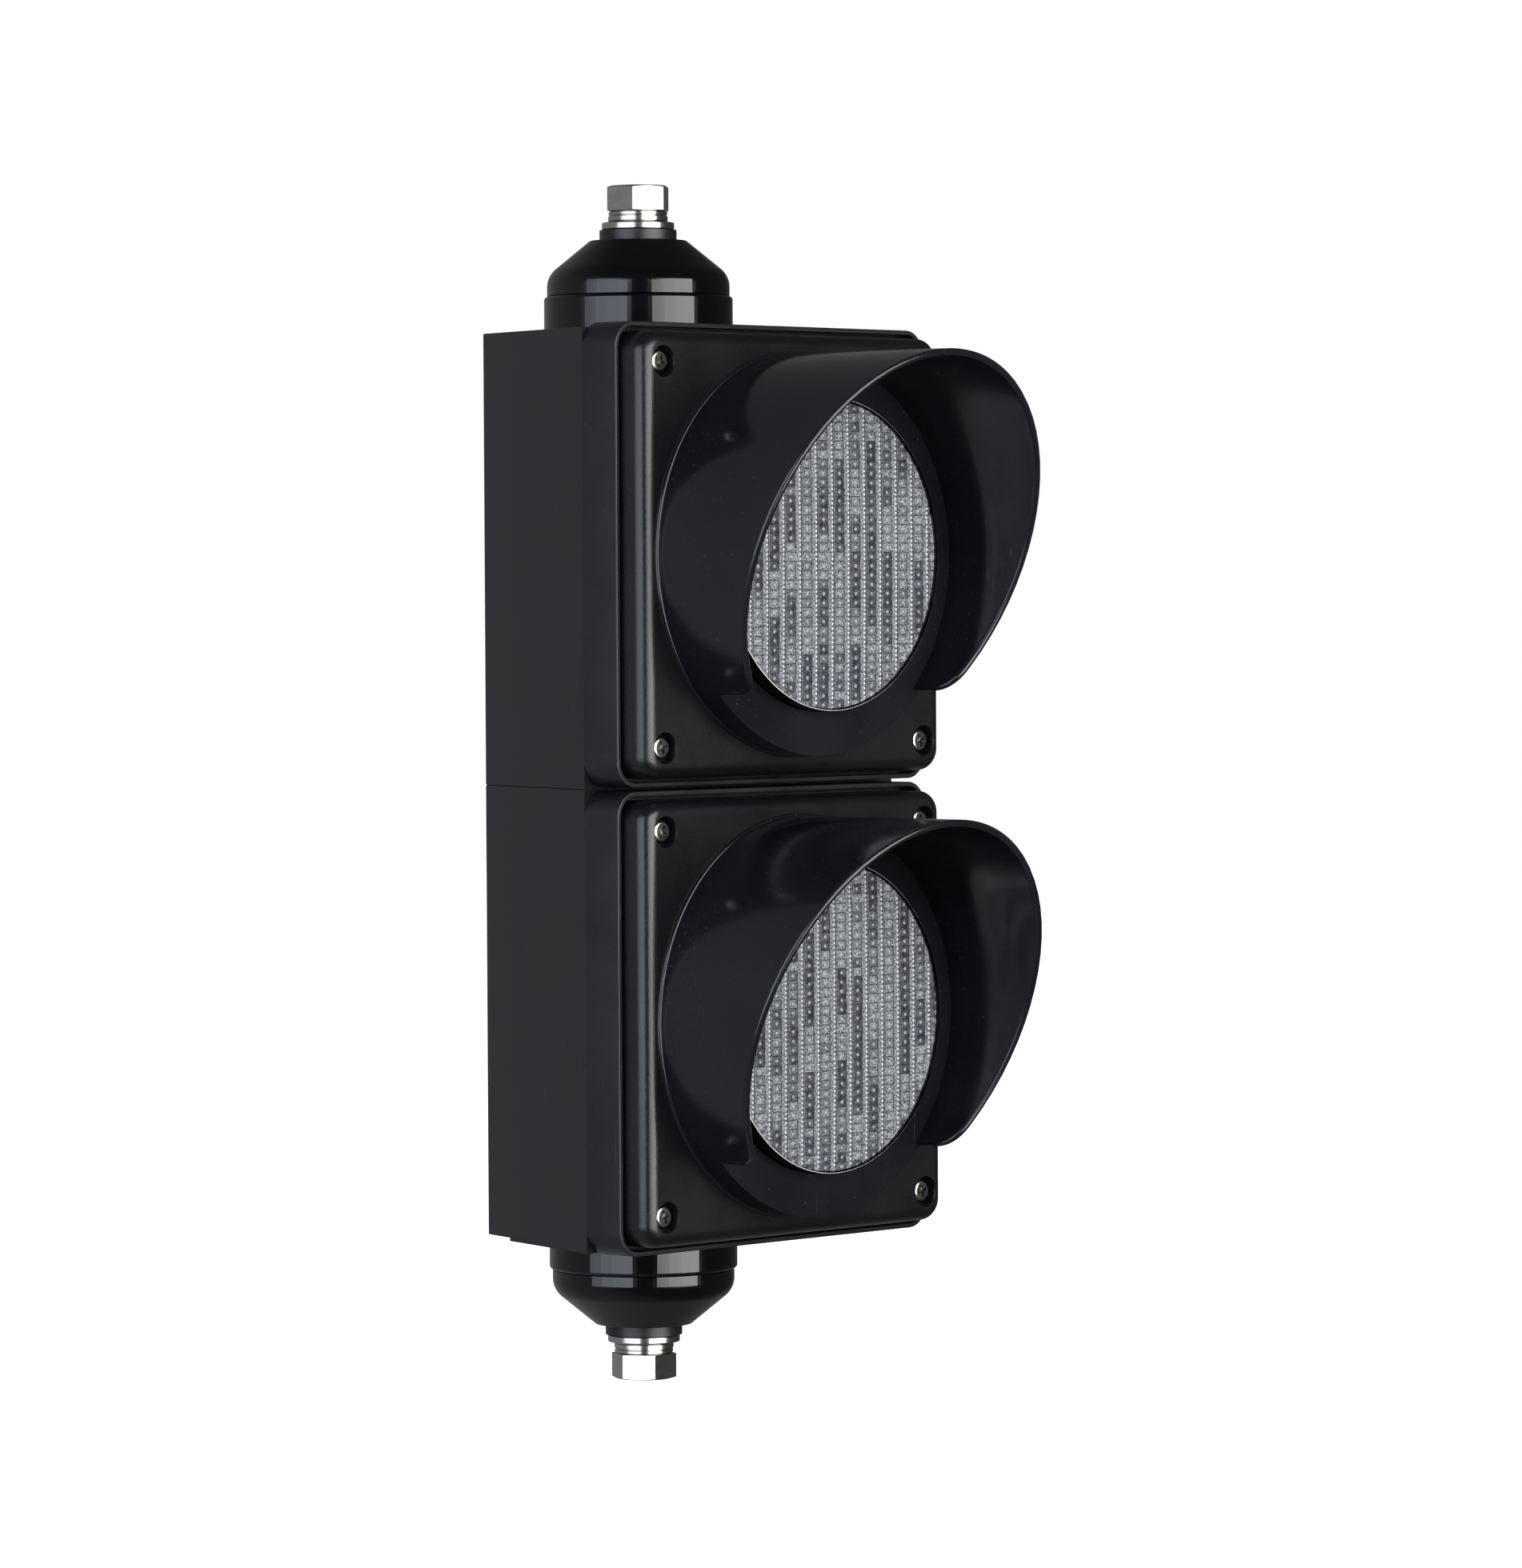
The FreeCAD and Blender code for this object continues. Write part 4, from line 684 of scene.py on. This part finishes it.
def build_housing(side):
    flip = SIDES[side]

    def ordered(near, far):
        return sorted((SEAM + flip * near, SEAM + flip * far))

    sizes = chosen_sizes()
    middle = SEAM + flip * (FRONT_LOW + FRONT_HIGH) / 2
    tall, wide = FRONT_HIGH - FRONT_LOW, 2 * HALF_WIDE
    shell = slanted_block(0.0, *ordered(0, REAR_HIGH))
    round_edges(shell, sizes.edge_round / MM, 7, lambda edge: not lies_at(edge, 1, FRONT_BACK))
    if side == "lower":
        pad = add_box((-HALF_WIDE, FRONT_BACK, SEAM - 149), (HALF_WIDE, 3.5, SEAM - 147))
        pick(pad, "FACE", facing((0, 1, 0)))
        slope = (HALF_WIDE - SLANT_HALF) / (SLANT_END - FRONT_BACK)
        narrow = (SLANT_HALF + (SLANT_END - 3.5) * slope) / HALF_WIDE
        bpy.ops.transform.resize(value=(narrow, 1, 1), center_override=(0, 0, 0))
        close_edit()
        combine(shell, pad, "UNION")
        combine(shell, add_box((-34.3, 3.0, SEAM - 149), (34.3, BACK - 1, SEAM - 147)), "UNION")
    front = slab(wide, tall, RIM_CORNER, 0.0, -15.0, middle)
    round_edges(front, sizes.rim_round / MM, 7, lambda edge: lies_at(edge, 1, -RIM))
    combine(shell, front, "UNION")
    combine(shell, slanted_block(WALL, *ordered(WALL, REAR_HIGH - WALL), back=BACK - WALL))
    combine(shell, slab(wide - 2 * LIP, tall - 2 * LIP, RIM_CORNER - LIP, 1.0, -7.0, middle))
    combine(shell, slab(wide - 14.0, tall - 14.0, RIM_CORNER, 1.0, -16.0, middle))
    outer = SEAM + flip * (REAR_HIGH + (1 if side == "lower" else 0))
    combine(shell, add_rod(6.25, (0, 0, outer + flip * 4), (0, 0, outer - flip * 8)))
    combine(shell, add_rod(12.0, (0, -8, SEAM - flip), (0, -8, SEAM + flip * 4)))
    for x in (-44, 44):
        for y in (-32, 10):
            combine(shell, add_rod(2.6, (x, y, SEAM - flip), (x, y, SEAM + flip * 4), 32))
    if side == "lower":
        combine(shell, add_rod(8.1, (0, BACK - 4, SEAM - 40), (0, BACK + 2, SEAM - 40)))
    smooth(shell, CREASE)
    bosses = []
    for x in (-SCREW_OUT, SCREW_OUT):
        for rise in (-SCREW_OUT, SCREW_OUT):
            centre = (x, -RIM, lens_height(side) + rise)
            bosses.append(smooth(turned([(2.05, -7), (5.5, -7), (5.5, -25), (0, -25), (0, -22), (2.05, -22)],
                                        centre, FORWARD, False, 40)))
    join(shell, *bosses)
    finish_end(shell, "housing", side, "head", "housing_plastic")


class SIGNAL_OT_housings(bpy.types.Operator):
    """Hollow moulded housings with a rim, a ledge and screw bosses"""
    bl_idname = "signal.housings"
    bl_label = "Housings"

    def execute(self, context):
        for side in SIDES:
            build_housing(side)
        return {"FINISHED"}


# ---------------------------------------------------------------- covers and visors

def screw_places(middle):
    return [(x, middle + rise) for x in (-SCREW_OUT, SCREW_OUT) for rise in (-SCREW_OUT, SCREW_OUT)]


def at_front(x, height, forward):
    return (x, -RIM - forward, height)


class SIGNAL_OT_covers(bpy.types.Operator):
    """Square covers with a rounded front edge, counterbores and the lamp opening"""
    bl_idname = "signal.covers"
    bl_label = "Covers"

    def execute(self, context):
        middle = lens_height("upper")
        cover = slab(COVER_WIDE, COVER_TALL, COVER_CORNER, COVER_FRONT, -5.0, middle)
        round_edges(cover, chosen_sizes().cover_round / MM, 8,
                    lambda edge: lies_at(edge, 1, -RIM - COVER_FRONT))
        pick(cover, "FACE", facing((0, 1, 0)))
        bpy.ops.mesh.inset(thickness=3.0 * MM, use_even_offset=True)
        bpy.ops.mesh.extrude_region_move(TRANSFORM_OT_translate={"value": (0, -12.0 * MM, 0)})
        close_edit()
        for x, height in screw_places(middle):
            combine(cover, add_rod(5.8, at_front(x, height, -5.0), at_front(x, height, 8.9), 48), "UNION")
            combine(cover, add_rod(5.1, at_front(x, height, 5.5), at_front(x, height, 12.0), 64))
            combine(cover, add_rod(2.2, at_front(x, height, -6.0), at_front(x, height, 8.0), 32))
        combine(cover, add_rod(54.5, at_front(0, middle, 5.0), at_front(0, middle, 12.0), 144))
        smooth(cover, 25.0)
        finish_pair(cover, "cover", "cover_plastic", "cover_plastic", "cover")
        return {"FINISHED"}


def visor_outline(inset):
    """Side view of the visor's free edge as height and reach, from the foot up; inset moves it inwards."""
    drop, corner = -44.8, 10.0
    slope = math.hypot(1, VISOR_RAKE)
    rise = drop + corner
    reach = VISOR_MID + VISOR_RAKE * rise - corner * slope
    end = math.degrees(math.atan2(1 / slope, -VISOR_RAKE / slope))
    line = VISOR_MID - inset * slope
    lower = [(drop + inset, SHELF_FRONT)] + arc((rise, reach), corner - inset, 180.0, end, 12)
    return lower, lambda up: line + VISOR_RAKE * up


def visor_cutter(middle):
    """Block that takes away all in front of the raked edge, with the lower corner rounded."""
    lower, reach_at = visor_outline(chosen_sizes().visor_edge / MM)
    far, half, beside = 110.0, 70.0, 75.0
    outline = lower + [(half, reach_at(half)), (half, far), (-half, far), (-half, SHELF_FRONT)]
    piece = draw_line([at_front(-beside, middle + up, forward) for up, forward in outline], True)
    select_mesh()
    bpy.ops.mesh.edge_face_add()
    bpy.ops.mesh.extrude_region_move(TRANSFORM_OT_translate={"value": (2 * beside * MM, 0, 0)})
    select_mesh()
    bpy.ops.mesh.normals_make_consistent(inside=False)
    close_edit()
    return piece


def edge_bead(middle):
    """Round bead along the visor's free edge, from one lower end over the top to the other."""
    radius, round_size = VISOR_WALL_MIDDLE, chosen_sizes().visor_edge / MM
    lower, reach_at = visor_outline(round_size)
    start = math.degrees(math.asin(lower[-1][0] / radius)) + 2.0
    side = [(math.sqrt(radius ** 2 - up ** 2), up, forward) for up, forward in lower]
    over, steps = [], 48
    for step in range(steps + 1):
        turn = math.radians(start + (180.0 - 2 * start) * step / steps)
        up = radius * math.sin(turn)
        over.append((radius * math.cos(turn), up, reach_at(up)))
    path = side + over + [(-x, up, forward) for x, up, forward in reversed(side)]
    bead = draw_line([at_front(x, middle + up, forward) for x, up, forward in path], False)
    close_edit()
    activate(bead)
    bpy.ops.object.convert(target="CURVE")
    bead = bpy.context.object
    bead.data.bevel_depth = round_size * MM
    bead.data.bevel_resolution = 3
    bead.data.use_fill_caps = True
    bpy.ops.object.convert(target="MESH")
    return bpy.context.object


class SIGNAL_OT_visors(bpy.types.Operator):
    """Deep raked visors on a ring shelf"""
    bl_idname = "signal.visors"
    bl_label = "Visors"

    def execute(self, context):
        middle = lens_height("upper")
        foot_back, steps = COVER_FRONT + 0.05, 180
        crown = VISOR_MID + VISOR_RAKE * VISOR_OUTER + 3
        visor = turned([(VISOR_OUTER, foot_back), (VISOR_OUTER, crown), (VISOR_INNER, crown),
                        (VISOR_INNER, SHELF_FRONT), (51.0, SHELF_FRONT), (51.0, 18.0), (56.5, 18.0),
                        (56.5, 14.0), (VISOR_INNER, 14.0), (VISOR_INNER, foot_back)],
                       (0, -RIM, middle), FORWARD, True, steps)
        combine(visor, visor_cutter(middle))
        smooth(visor, 20.0)
        bead = edge_bead(middle)
        smooth(bead, 60.0)
        foot = turned([(65.1, foot_back), (66.0, foot_back)] + arc((65.1, foot_back), 0.9, 15.0, 90.0, 6),
                      (0, -RIM, middle), FORWARD, True, steps)
        smooth(foot, 40.0)
        join(visor, foot, bead)
        finish_pair(visor, "visor", "gloss_black", "visor_plastic", "visor")
        return {"FINISHED"}


# ---------------------------------------------------------------- lenses

def dome_height(radius, reach, rim, rise):
    """How far forward a shallow dome stands at a radius."""
    crown = (reach ** 2 + rise ** 2) / (2 * rise)
    return rim + rise - crown + math.sqrt(crown ** 2 - radius ** 2)


def dome_line(reach, rim, rise):
    """Outline of a shallow dome from its rim to its middle."""
    radii = [reach * (1 - step / 20) for step in range(21)]
    return [(radius, dome_height(radius, reach, rim, rise)) for radius in radii]


def bead_columns(middle, radius):
    """Places of the beads in columns across a lens."""
    sizes = chosen_sizes()
    rib, step = sizes.rib_step / MM, sizes.bead_step / MM
    places = []
    for column in range(-6, 7):
        x = column * rib
        reach = math.sqrt(max(0.0, (radius - 0.9) ** 2 - x * x))
        count = int(reach / step)
        places += [(x, middle + row * step) for row in range(-count, count + 1)]
    return places


def finish_rim_with_painted_highlight(lens, middle):
    """Gives the lens's side wall and flange the black of its holder, and its rim a thin ring of the bright
    bead finish: a painted highlight along the rounded rim.
    """
    lens.data.materials.append(FINISHES["gloss_black"])
    lens.data.materials.append(FINISHES["bead"])
    for face in lens.data.polygons:
        radius = math.hypot(face.center.x, face.center.z - middle * MM) / MM
        forward = -RIM - face.center.y / MM
        if forward < 25.0 and radius > PATTERN_REACH:
            face.material_index = 1
        elif radius > LENS_REACH:
            # the rim's front ring gets the near-white bead finish, a painted highlight
            face.material_index = 2 if forward > 26.3 else 1


class SIGNAL_OT_lenses(bpy.types.Operator):
    """Clear domed lenses, with the patterned lens and its beads behind"""
    bl_idname = "signal.lenses"
    bl_label = "Lenses"

    def execute(self, context):
        middle = lens_height("upper")
        centre = (0, -RIM, middle)
        inner, flange = LENS_REACH - 0.35, 56.2
        lens = turned(list(reversed(dome_line(inner, 26.0, LENS_RISE)))
                      + [(inner, 15.4), (flange, 15.4), (flange, 17.9), (50.6, 17.9), (50.6, 26.3)]
                      + dome_line(LENS_REACH, LENS_RIM, LENS_RISE), centre, FORWARD, False)
        smooth(lens, 30.0)
        plate = turned(list(reversed(dome_line(PATTERN_REACH, 23.6, PATTERN_RISE)))
                       + dome_line(PATTERN_REACH, PATTERN_RIM, PATTERN_RISE), centre, FORWARD, False)
        smooth(plate)
        deselect()
        bpy.ops.mesh.primitive_ico_sphere_add(subdivisions=1, radius=chosen_sizes().bead_size)
        bead = settle(context.object)
        smooth(bead, 80.0)
        beads = []
        for x, height in bead_columns(middle, PATTERN_REACH):
            copy = bead.copy()
            copy.data = bead.data.copy()
            forward = dome_height(math.hypot(x, height - middle), PATTERN_REACH, PATTERN_RIM, PATTERN_RISE)
            copy.data.transform(Matrix.Translation(Vector(at_front(x, height, forward)) * MM))
            context.scene.collection.objects.link(copy)
            beads.append(copy)
        bpy.data.objects.remove(bead)
        row = join(beads[0], *beads[1:])
        for side, piece in zip(SIDES, finish_pair(lens, "clear_lens", "lens_clear", "lens_clear", "lens")):
            finish_rim_with_painted_highlight(piece, lens_height(side))
        finish_pair(plate, "patterned_lens", "lens_pattern", "lens_pattern", "patterned_lens")
        # the beads' near-white finish is a painted glint
        finish_pair(row, "lens_beads_painted_glint", "lens_pattern", "bead")
        return {"FINISHED"}


# ---------------------------------------------------------------- fittings

def seat_frame(side):
    """Middle of a fitting's seat on its housing, and the way out along the axis."""
    flip = SIDES[side]
    return Vector((0, 0, SEAM + flip * (149 if side == "lower" else 148))), UP * flip


def hexagon(flats, centre, outward, start, high, turn):
    """Hexagonal head with its outer corners turned down."""
    low, top = centre + outward * start, centre + outward * (start + high)
    deselect()
    bpy.ops.mesh.primitive_cylinder_add(vertices=6, radius=flats / math.sqrt(3) * MM, depth=high * MM,
                                        location=(low + top) / 2 * MM, rotation=(0, 0, math.radians(turn)))
    piece = settle(bpy.context.object)
    reach = flats / math.sqrt(3)
    trim = turned([(0, start - 1), (reach + 4, start - 1), (reach + 4, start + high - 1.7),
                   (flats / 2 - 0.35, start + high), (0, start + high)], centre, outward, False, 96)
    combine(piece, trim, "INTERSECT")
    return piece


class SIGNAL_OT_fittings(bpy.types.Operator):
    """Collars, dome caps and bushes at both ends"""
    bl_idname = "signal.fittings"
    bl_label = "Fittings"

    def execute(self, context):
        for side in SIDES:
            seat, out = seat_frame(side)
            collar = turned([(9.05, 0), (31.3, 0), (31.3, 12.2), (30.5, 13.0), (27.3, 13.0), (27.3, 3.0),
                             (13.5, 3.0), (13.5, 12.6), (9.05, 12.6)], seat, out)
            soften(collar, 0.25 * MM, 2, 30.0)
            finish_end(collar, "collar", side, "head", "gloss_black")
            base, peak, shoulder = 13.1, 31.5, 7.8
            middle = Vector((30.3 - shoulder, base + 3.0))
            run = Vector((16.0, peak)) - middle
            turn = math.degrees(math.atan2(run.y, run.x) - math.acos(shoulder / run.length))
            outline = arc(middle, shoulder, 0.0, turn, 16)
            dome = turned([(9.0, base), (13.5, base), (13.5, 26.5), (16.5, 26.5), (23.8, 19.6), (27.3, 16.1),
                           (27.3, base), (30.3, base)] + outline
                          + [(16.0, peak), (12.9, peak), (12.9, peak - 0.5), (9.0, peak - 0.5)], seat, out)
            soften(dome, 0.3 * MM, 3, 24.0)
            fitting = f"{side}_fitting"
            finish_end(dome, "dome", side, fitting, "gloss_black", "dome_cap")
            bush = turned([(6.05, 1.2), (9.0, 1.2), (9.0, peak - 0.5), (12.6, peak - 0.5), (12.6, peak),
                           (12.8, peak), (12.8, 35.0), (6.05, 35.0)], seat, out)
            soften(bush, 0.45 * MM, 3, 30.0)
            finish_end(bush, "bush", side, fitting, "nylon_black")
        return {"FINISHED"}


class SIGNAL_OT_bolts(bpy.types.Operator):
    """Hexagon bolts with their flat and spring washers"""
    bl_idname = "signal.bolts"
    bl_label = "Bolts and washers"

    def execute(self, context):
        for side, turn in (("upper", 5.7), ("lower", 153.4)):
            seat, out = seat_frame(side)
            flat = turned([(6.05, 35.1), (12.0, 35.1), (12.0, 37.5), (6.05, 37.5)], seat, out)
            soften(flat, 0.45 * MM, 3, 30.0)
            finish_end(flat, "flat_washer", side, "head", "stainless")
            spring = turned([(6.1, 37.5), (9.3, 37.5), (9.9, 38.1), (9.9, 39.4), (9.45, 39.75), (9.75, 40.1),
                             (9.75, 40.8), (9.2, 41.3), (6.1, 41.3)], seat, out)
            middle = (seat + out * 39.4) * MM
            deselect()
            bpy.ops.mesh.primitive_cube_add(size=1, location=middle + Vector((9, 0, 0)) * MM,
                                            scale=(18 * MM, 1.1 * MM, 9 * MM),
                                            rotation=(math.radians(25), 0, 0))
            gap = settle(context.object)
            gap.data.transform(Matrix.Translation(middle) @ Matrix.Rotation(math.radians(140), 4, "Z")
                               @ Matrix.Translation(-middle))
            combine(spring, gap)
            soften(spring, 0.12 * MM, 2, 30.0)
            finish_end(spring, "spring_washer", side, "head", "stainless")
            head = hexagon(ACROSS_FLATS, seat, out, 41.3, 8.4, turn)
            soften(head, 0.3 * MM, 3, 24.0)
            shank = turned([(0, -18.7), (4.8, -18.7), (6.0, -17.5), (6.0, 41.5), (0, 41.5)],
                           seat, out, False, 64)
            smooth(shank)
            join(head, shank)
            finish_end(head, "bolt", side, "head", "stainless")
        return {"FINISHED"}


class SIGNAL_OT_screws(bpy.types.Operator):
    """Pan-head cover screws with a cross recess"""
    bl_idname = "signal.screws"
    bl_label = "Cover screws"

    def execute(self, context):
        middle = lens_height("upper")
        seat, head_radius, head_high, head_round = 6.1, 3.9, 2.4, 1.35
        head_curve = arc((head_radius - head_round, seat + head_high - head_round), head_round, 0.0, 90.0, 8)
        screw = turned([(0, -19.0), (0.6, -19.0), (2.0, -17.0), (2.0, seat), (head_radius, seat)] + head_curve
                       + [(0, seat + head_high)], (0, -RIM, middle), FORWARD, False, 48)
        long, short = 2.55, 0.62
        for x, y in ((long, short), (short, long)):
            arm = add_box((-x, -RIM - seat - 5.0, middle - y), (x, -RIM - seat - 0.5, middle + y))
            pick(arm, "FACE", facing((0, 1, 0)))
            bpy.ops.transform.resize(value=(0.72, 1, 0.72), center_override=(0, 0, middle * MM))
            close_edit()
            combine(screw, arm)
        smooth(screw, 38.0)
        pieces = []
        for (x, height), turn in zip(screw_places(middle), (20, 65, 110, 5)):
            activate(screw)
            bpy.ops.object.duplicate()
            one = context.object
            centre = Vector((0, 0, middle * MM))
            one.data.transform(Matrix.Translation(Vector((x, 0, height)) * MM)
                               @ Matrix.Rotation(math.radians(-turn), 4, "Y") @ Matrix.Translation(-centre))
            pieces.append(one)
        bpy.data.objects.remove(screw)
        group = join(pieces[0], *pieces[1:])
        finish_pair(group, "cover_screws", "stainless", "stainless", "cover_screws")
        return {"FINISHED"}


# ---------------------------------------------------------------- carried-over nodes and stage

CARRIED = {
    "rubber_black": ("cover_gasket", "lens_seal", "screw_seals", "seam_grommet", "gland_seal"),
    "lamp_plastic": ("lamp_case",),
    "circuit_board": ("led_board", "driver_board"),
    "led_epoxy": ("leds",),
    "driver_parts": ("driver_parts",),
    "stainless": ("visor_screws", "clamp_plate", "nut", "tie_bolts", "tie_nuts"),
    "nylon_black": ("cable_plug", "terminal_block", "gland_body", "gland_cap", "gland_locknut"),
    "cable_grey": ("seam_cable",),
}


class SIGNAL_OT_inner(bpy.types.Operator):
    """Finishes on the seals, boards, lamps and other pieces inside"""
    bl_idname = "signal.inner"
    bl_label = "Inner pieces"

    def execute(self, context):
        for look, names in CARRIED.items():
            for node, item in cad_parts.items():
                if not any(node == name or node.endswith("_" + name) for name in names):
                    continue
                item.data.materials.clear()
                item.data.materials.append(FINISHES[look])
        bare = [name for name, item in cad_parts.items()
                if not item.hide_render and item.data.materials[0] not in FINISHES.values()]
        if bare:
            raise RuntimeError(f"no finish on {bare}")
        return {"FINISHED"}


def add_light(name, power, tint, azimuth, aim, shares):
    """Soft light on one side of the head, in upright parts with a share of the power each."""
    elevation, wide, tall, distance = math.radians(6), 1.6, 1.35, 1.5
    out = Vector((math.sin(azimuth) * math.cos(elevation), -math.cos(azimuth) * math.cos(elevation),
                  math.sin(elevation)))
    across = Vector((math.cos(azimuth), math.sin(azimuth), 0))
    for part, given in enumerate(shares):
        place = ((part + 0.5) / len(shares) - 0.5) * wide
        deselect()
        bpy.ops.object.light_add(type="AREA", location=aim + out * distance + across * place)
        lamp = bpy.context.object
        lamp.name = f"{name}_{part}"
        lamp.rotation_euler = out.to_track_quat("Z", "Y").to_euler()
        lamp.data.shape = "RECTANGLE"
        lamp.data.size, lamp.data.size_y = wide / len(shares), tall
        lamp.data.energy = power * given
        lamp.data.color = tint
        lamp.visible_camera = False


class SIGNAL_OT_stage(bpy.types.Operator):
    """Pale floor, soft lights and camera"""
    bl_idname = "signal.stage"
    bl_label = "Stage"

    def execute(self, context):
        stage = context.scene.signal_stage
        low, high = CAD_BOX
        deselect()
        bpy.ops.mesh.primitive_circle_add(vertices=96, radius=14.0, fill_type="NGON",
                                          location=(0, 0, low.z - stage.floor_drop))
        floor = settle(context.object)
        floor.name = "floor"
        pale = Finish("pale_floor")
        tone = pale.mix(pale.noise(0.6, 2.0), (0.90, 0.90, 0.90, 1), (0.93, 0.93, 0.93, 1))
        pale.set(Base_Color=tone, Roughness=0.8, Emission_Color=(1, 1, 1, 1), Emission_Strength=1.3)
        floor.data.materials.append(pale.material)
        floor.visible_glossy = False
        floor.visible_diffuse = False

        world = bpy.data.worlds.new("surround")
        world.use_nodes = True
        context.scene.world = world
        nodes, links = world.node_tree.nodes, world.node_tree.links
        glow = nodes["Background"]
        toward = nodes.new("ShaderNodeVectorMath")
        toward.operation = "DOT_PRODUCT"
        brightest = stage.glow_azimuth
        toward.inputs[1].default_value = (math.sin(brightest), -math.cos(brightest), -0.5)
        links.new(nodes.new("ShaderNodeTexCoord").outputs["Generated"], toward.inputs[0])
        fade = nodes.new("ShaderNodeMapRange")
        fade.interpolation_type = "SMOOTHSTEP"
        for socket, value in zip(list(fade.inputs)[1:5], (-0.2, 0.9, stage.near_glow, stage.far_glow)):
            socket.default_value = value
        links.new(toward.outputs["Value"], fade.inputs[0])
        links.new(fade.outputs[0], glow.inputs["Strength"])
        clean = nodes.new("ShaderNodeBackground")
        clean.inputs["Color"].default_value = (1, 1, 1, 1)
        glow.inputs["Color"].default_value = (0.96, 0.98, 1.0, 1)
        blend = nodes.new("ShaderNodeMixShader")
        rays = nodes.new("ShaderNodeLightPath")
        links.new(rays.outputs["Is Camera Ray"], blend.inputs[0])
        links.new(glow.outputs[0], blend.inputs[1])
        links.new(clean.outputs[0], blend.inputs[2])
        links.new(blend.outputs[0], nodes["World Output"].inputs["Surface"])

        aim = Vector((0, -0.02, (low.z + high.z) / 2))
        add_light("soft_left", stage.left_power, (0.80, 0.84, 1.0), stage.azimuth - LEFT_SWING, aim,
                  (0.17, 0.25, 0.28, 0.30))
        add_light("soft_right", stage.right_power, (1.0, 0.985, 0.965), stage.azimuth + RIGHT_SWING, aim,
                  (0.19, 0.25, 0.28, 0.28))

        azimuth, elevation = stage.azimuth, stage.elevation
        target = Vector((-6.67, -61.0, 182.66)) * MM
        out = Vector((math.sin(azimuth) * math.cos(elevation), -math.cos(azimuth) * math.cos(elevation),
                      math.sin(elevation)))
        right = Vector((math.cos(azimuth), math.sin(azimuth), 0))
        above = out.cross(right)
        turned_right = right * math.cos(stage.roll) + above * math.sin(stage.roll)
        turned_up = above * math.cos(stage.roll) - right * math.sin(stage.roll)
        place = Matrix((turned_right, turned_up, out)).transposed().to_4x4()
        place.translation = target + out * stage.distance
        bpy.ops.object.camera_add()
        camera = context.object
        camera.matrix_world = place
        camera.data.sensor_width = 36.0
        camera.data.lens = stage.lens
        camera.data.clip_end = 100.0
        context.scene.camera = camera
        context.scene.view_settings.view_transform = "Standard"
        return {"FINISHED"}


# ---------------------------------------------------------------- panel and run

STEPS = (SIGNAL_OT_housings, SIGNAL_OT_covers, SIGNAL_OT_visors, SIGNAL_OT_lenses, SIGNAL_OT_fittings,
         SIGNAL_OT_bolts, SIGNAL_OT_screws, SIGNAL_OT_inner, SIGNAL_OT_stage)
GROUPS = {"signal_sizes": SignalSizes, "signal_finishes": SignalFinishes, "signal_stage": SignalStage}


class SIGNAL_PT_panel(bpy.types.Panel):
    """Lists the steps that build the head"""
    bl_idname = "SIGNAL_PT_panel"
    bl_label = "Signal head"
    bl_space_type = "VIEW_3D"
    bl_region_type = "UI"
    bl_category = "Signal"

    def draw(self, context):
        for step in STEPS:
            self.layout.operator(step.bl_idname)
        for group, kind in GROUPS.items():
            column = self.layout.column()
            for name in kind.__annotations__:
                column.prop(getattr(context.scene, group), name)


CLASSES = (*GROUPS.values(), *STEPS, SIGNAL_PT_panel)


def register():
    for item in CLASSES:
        bpy.utils.register_class(item)
    for name, kind in GROUPS.items():
        setattr(bpy.types.Scene, name, bpy.props.PointerProperty(type=kind))


def unregister():
    for name in GROUPS:
        delattr(bpy.types.Scene, name)
    for item in reversed(CLASSES):
        bpy.utils.unregister_class(item)


def main():
    register()
    FINISHES.update(make_finishes())
    for step in STEPS:
        group, name = step.bl_idname.split(".")
        getattr(getattr(bpy.ops, group), name)()


if __name__ == "__main__":
    main()
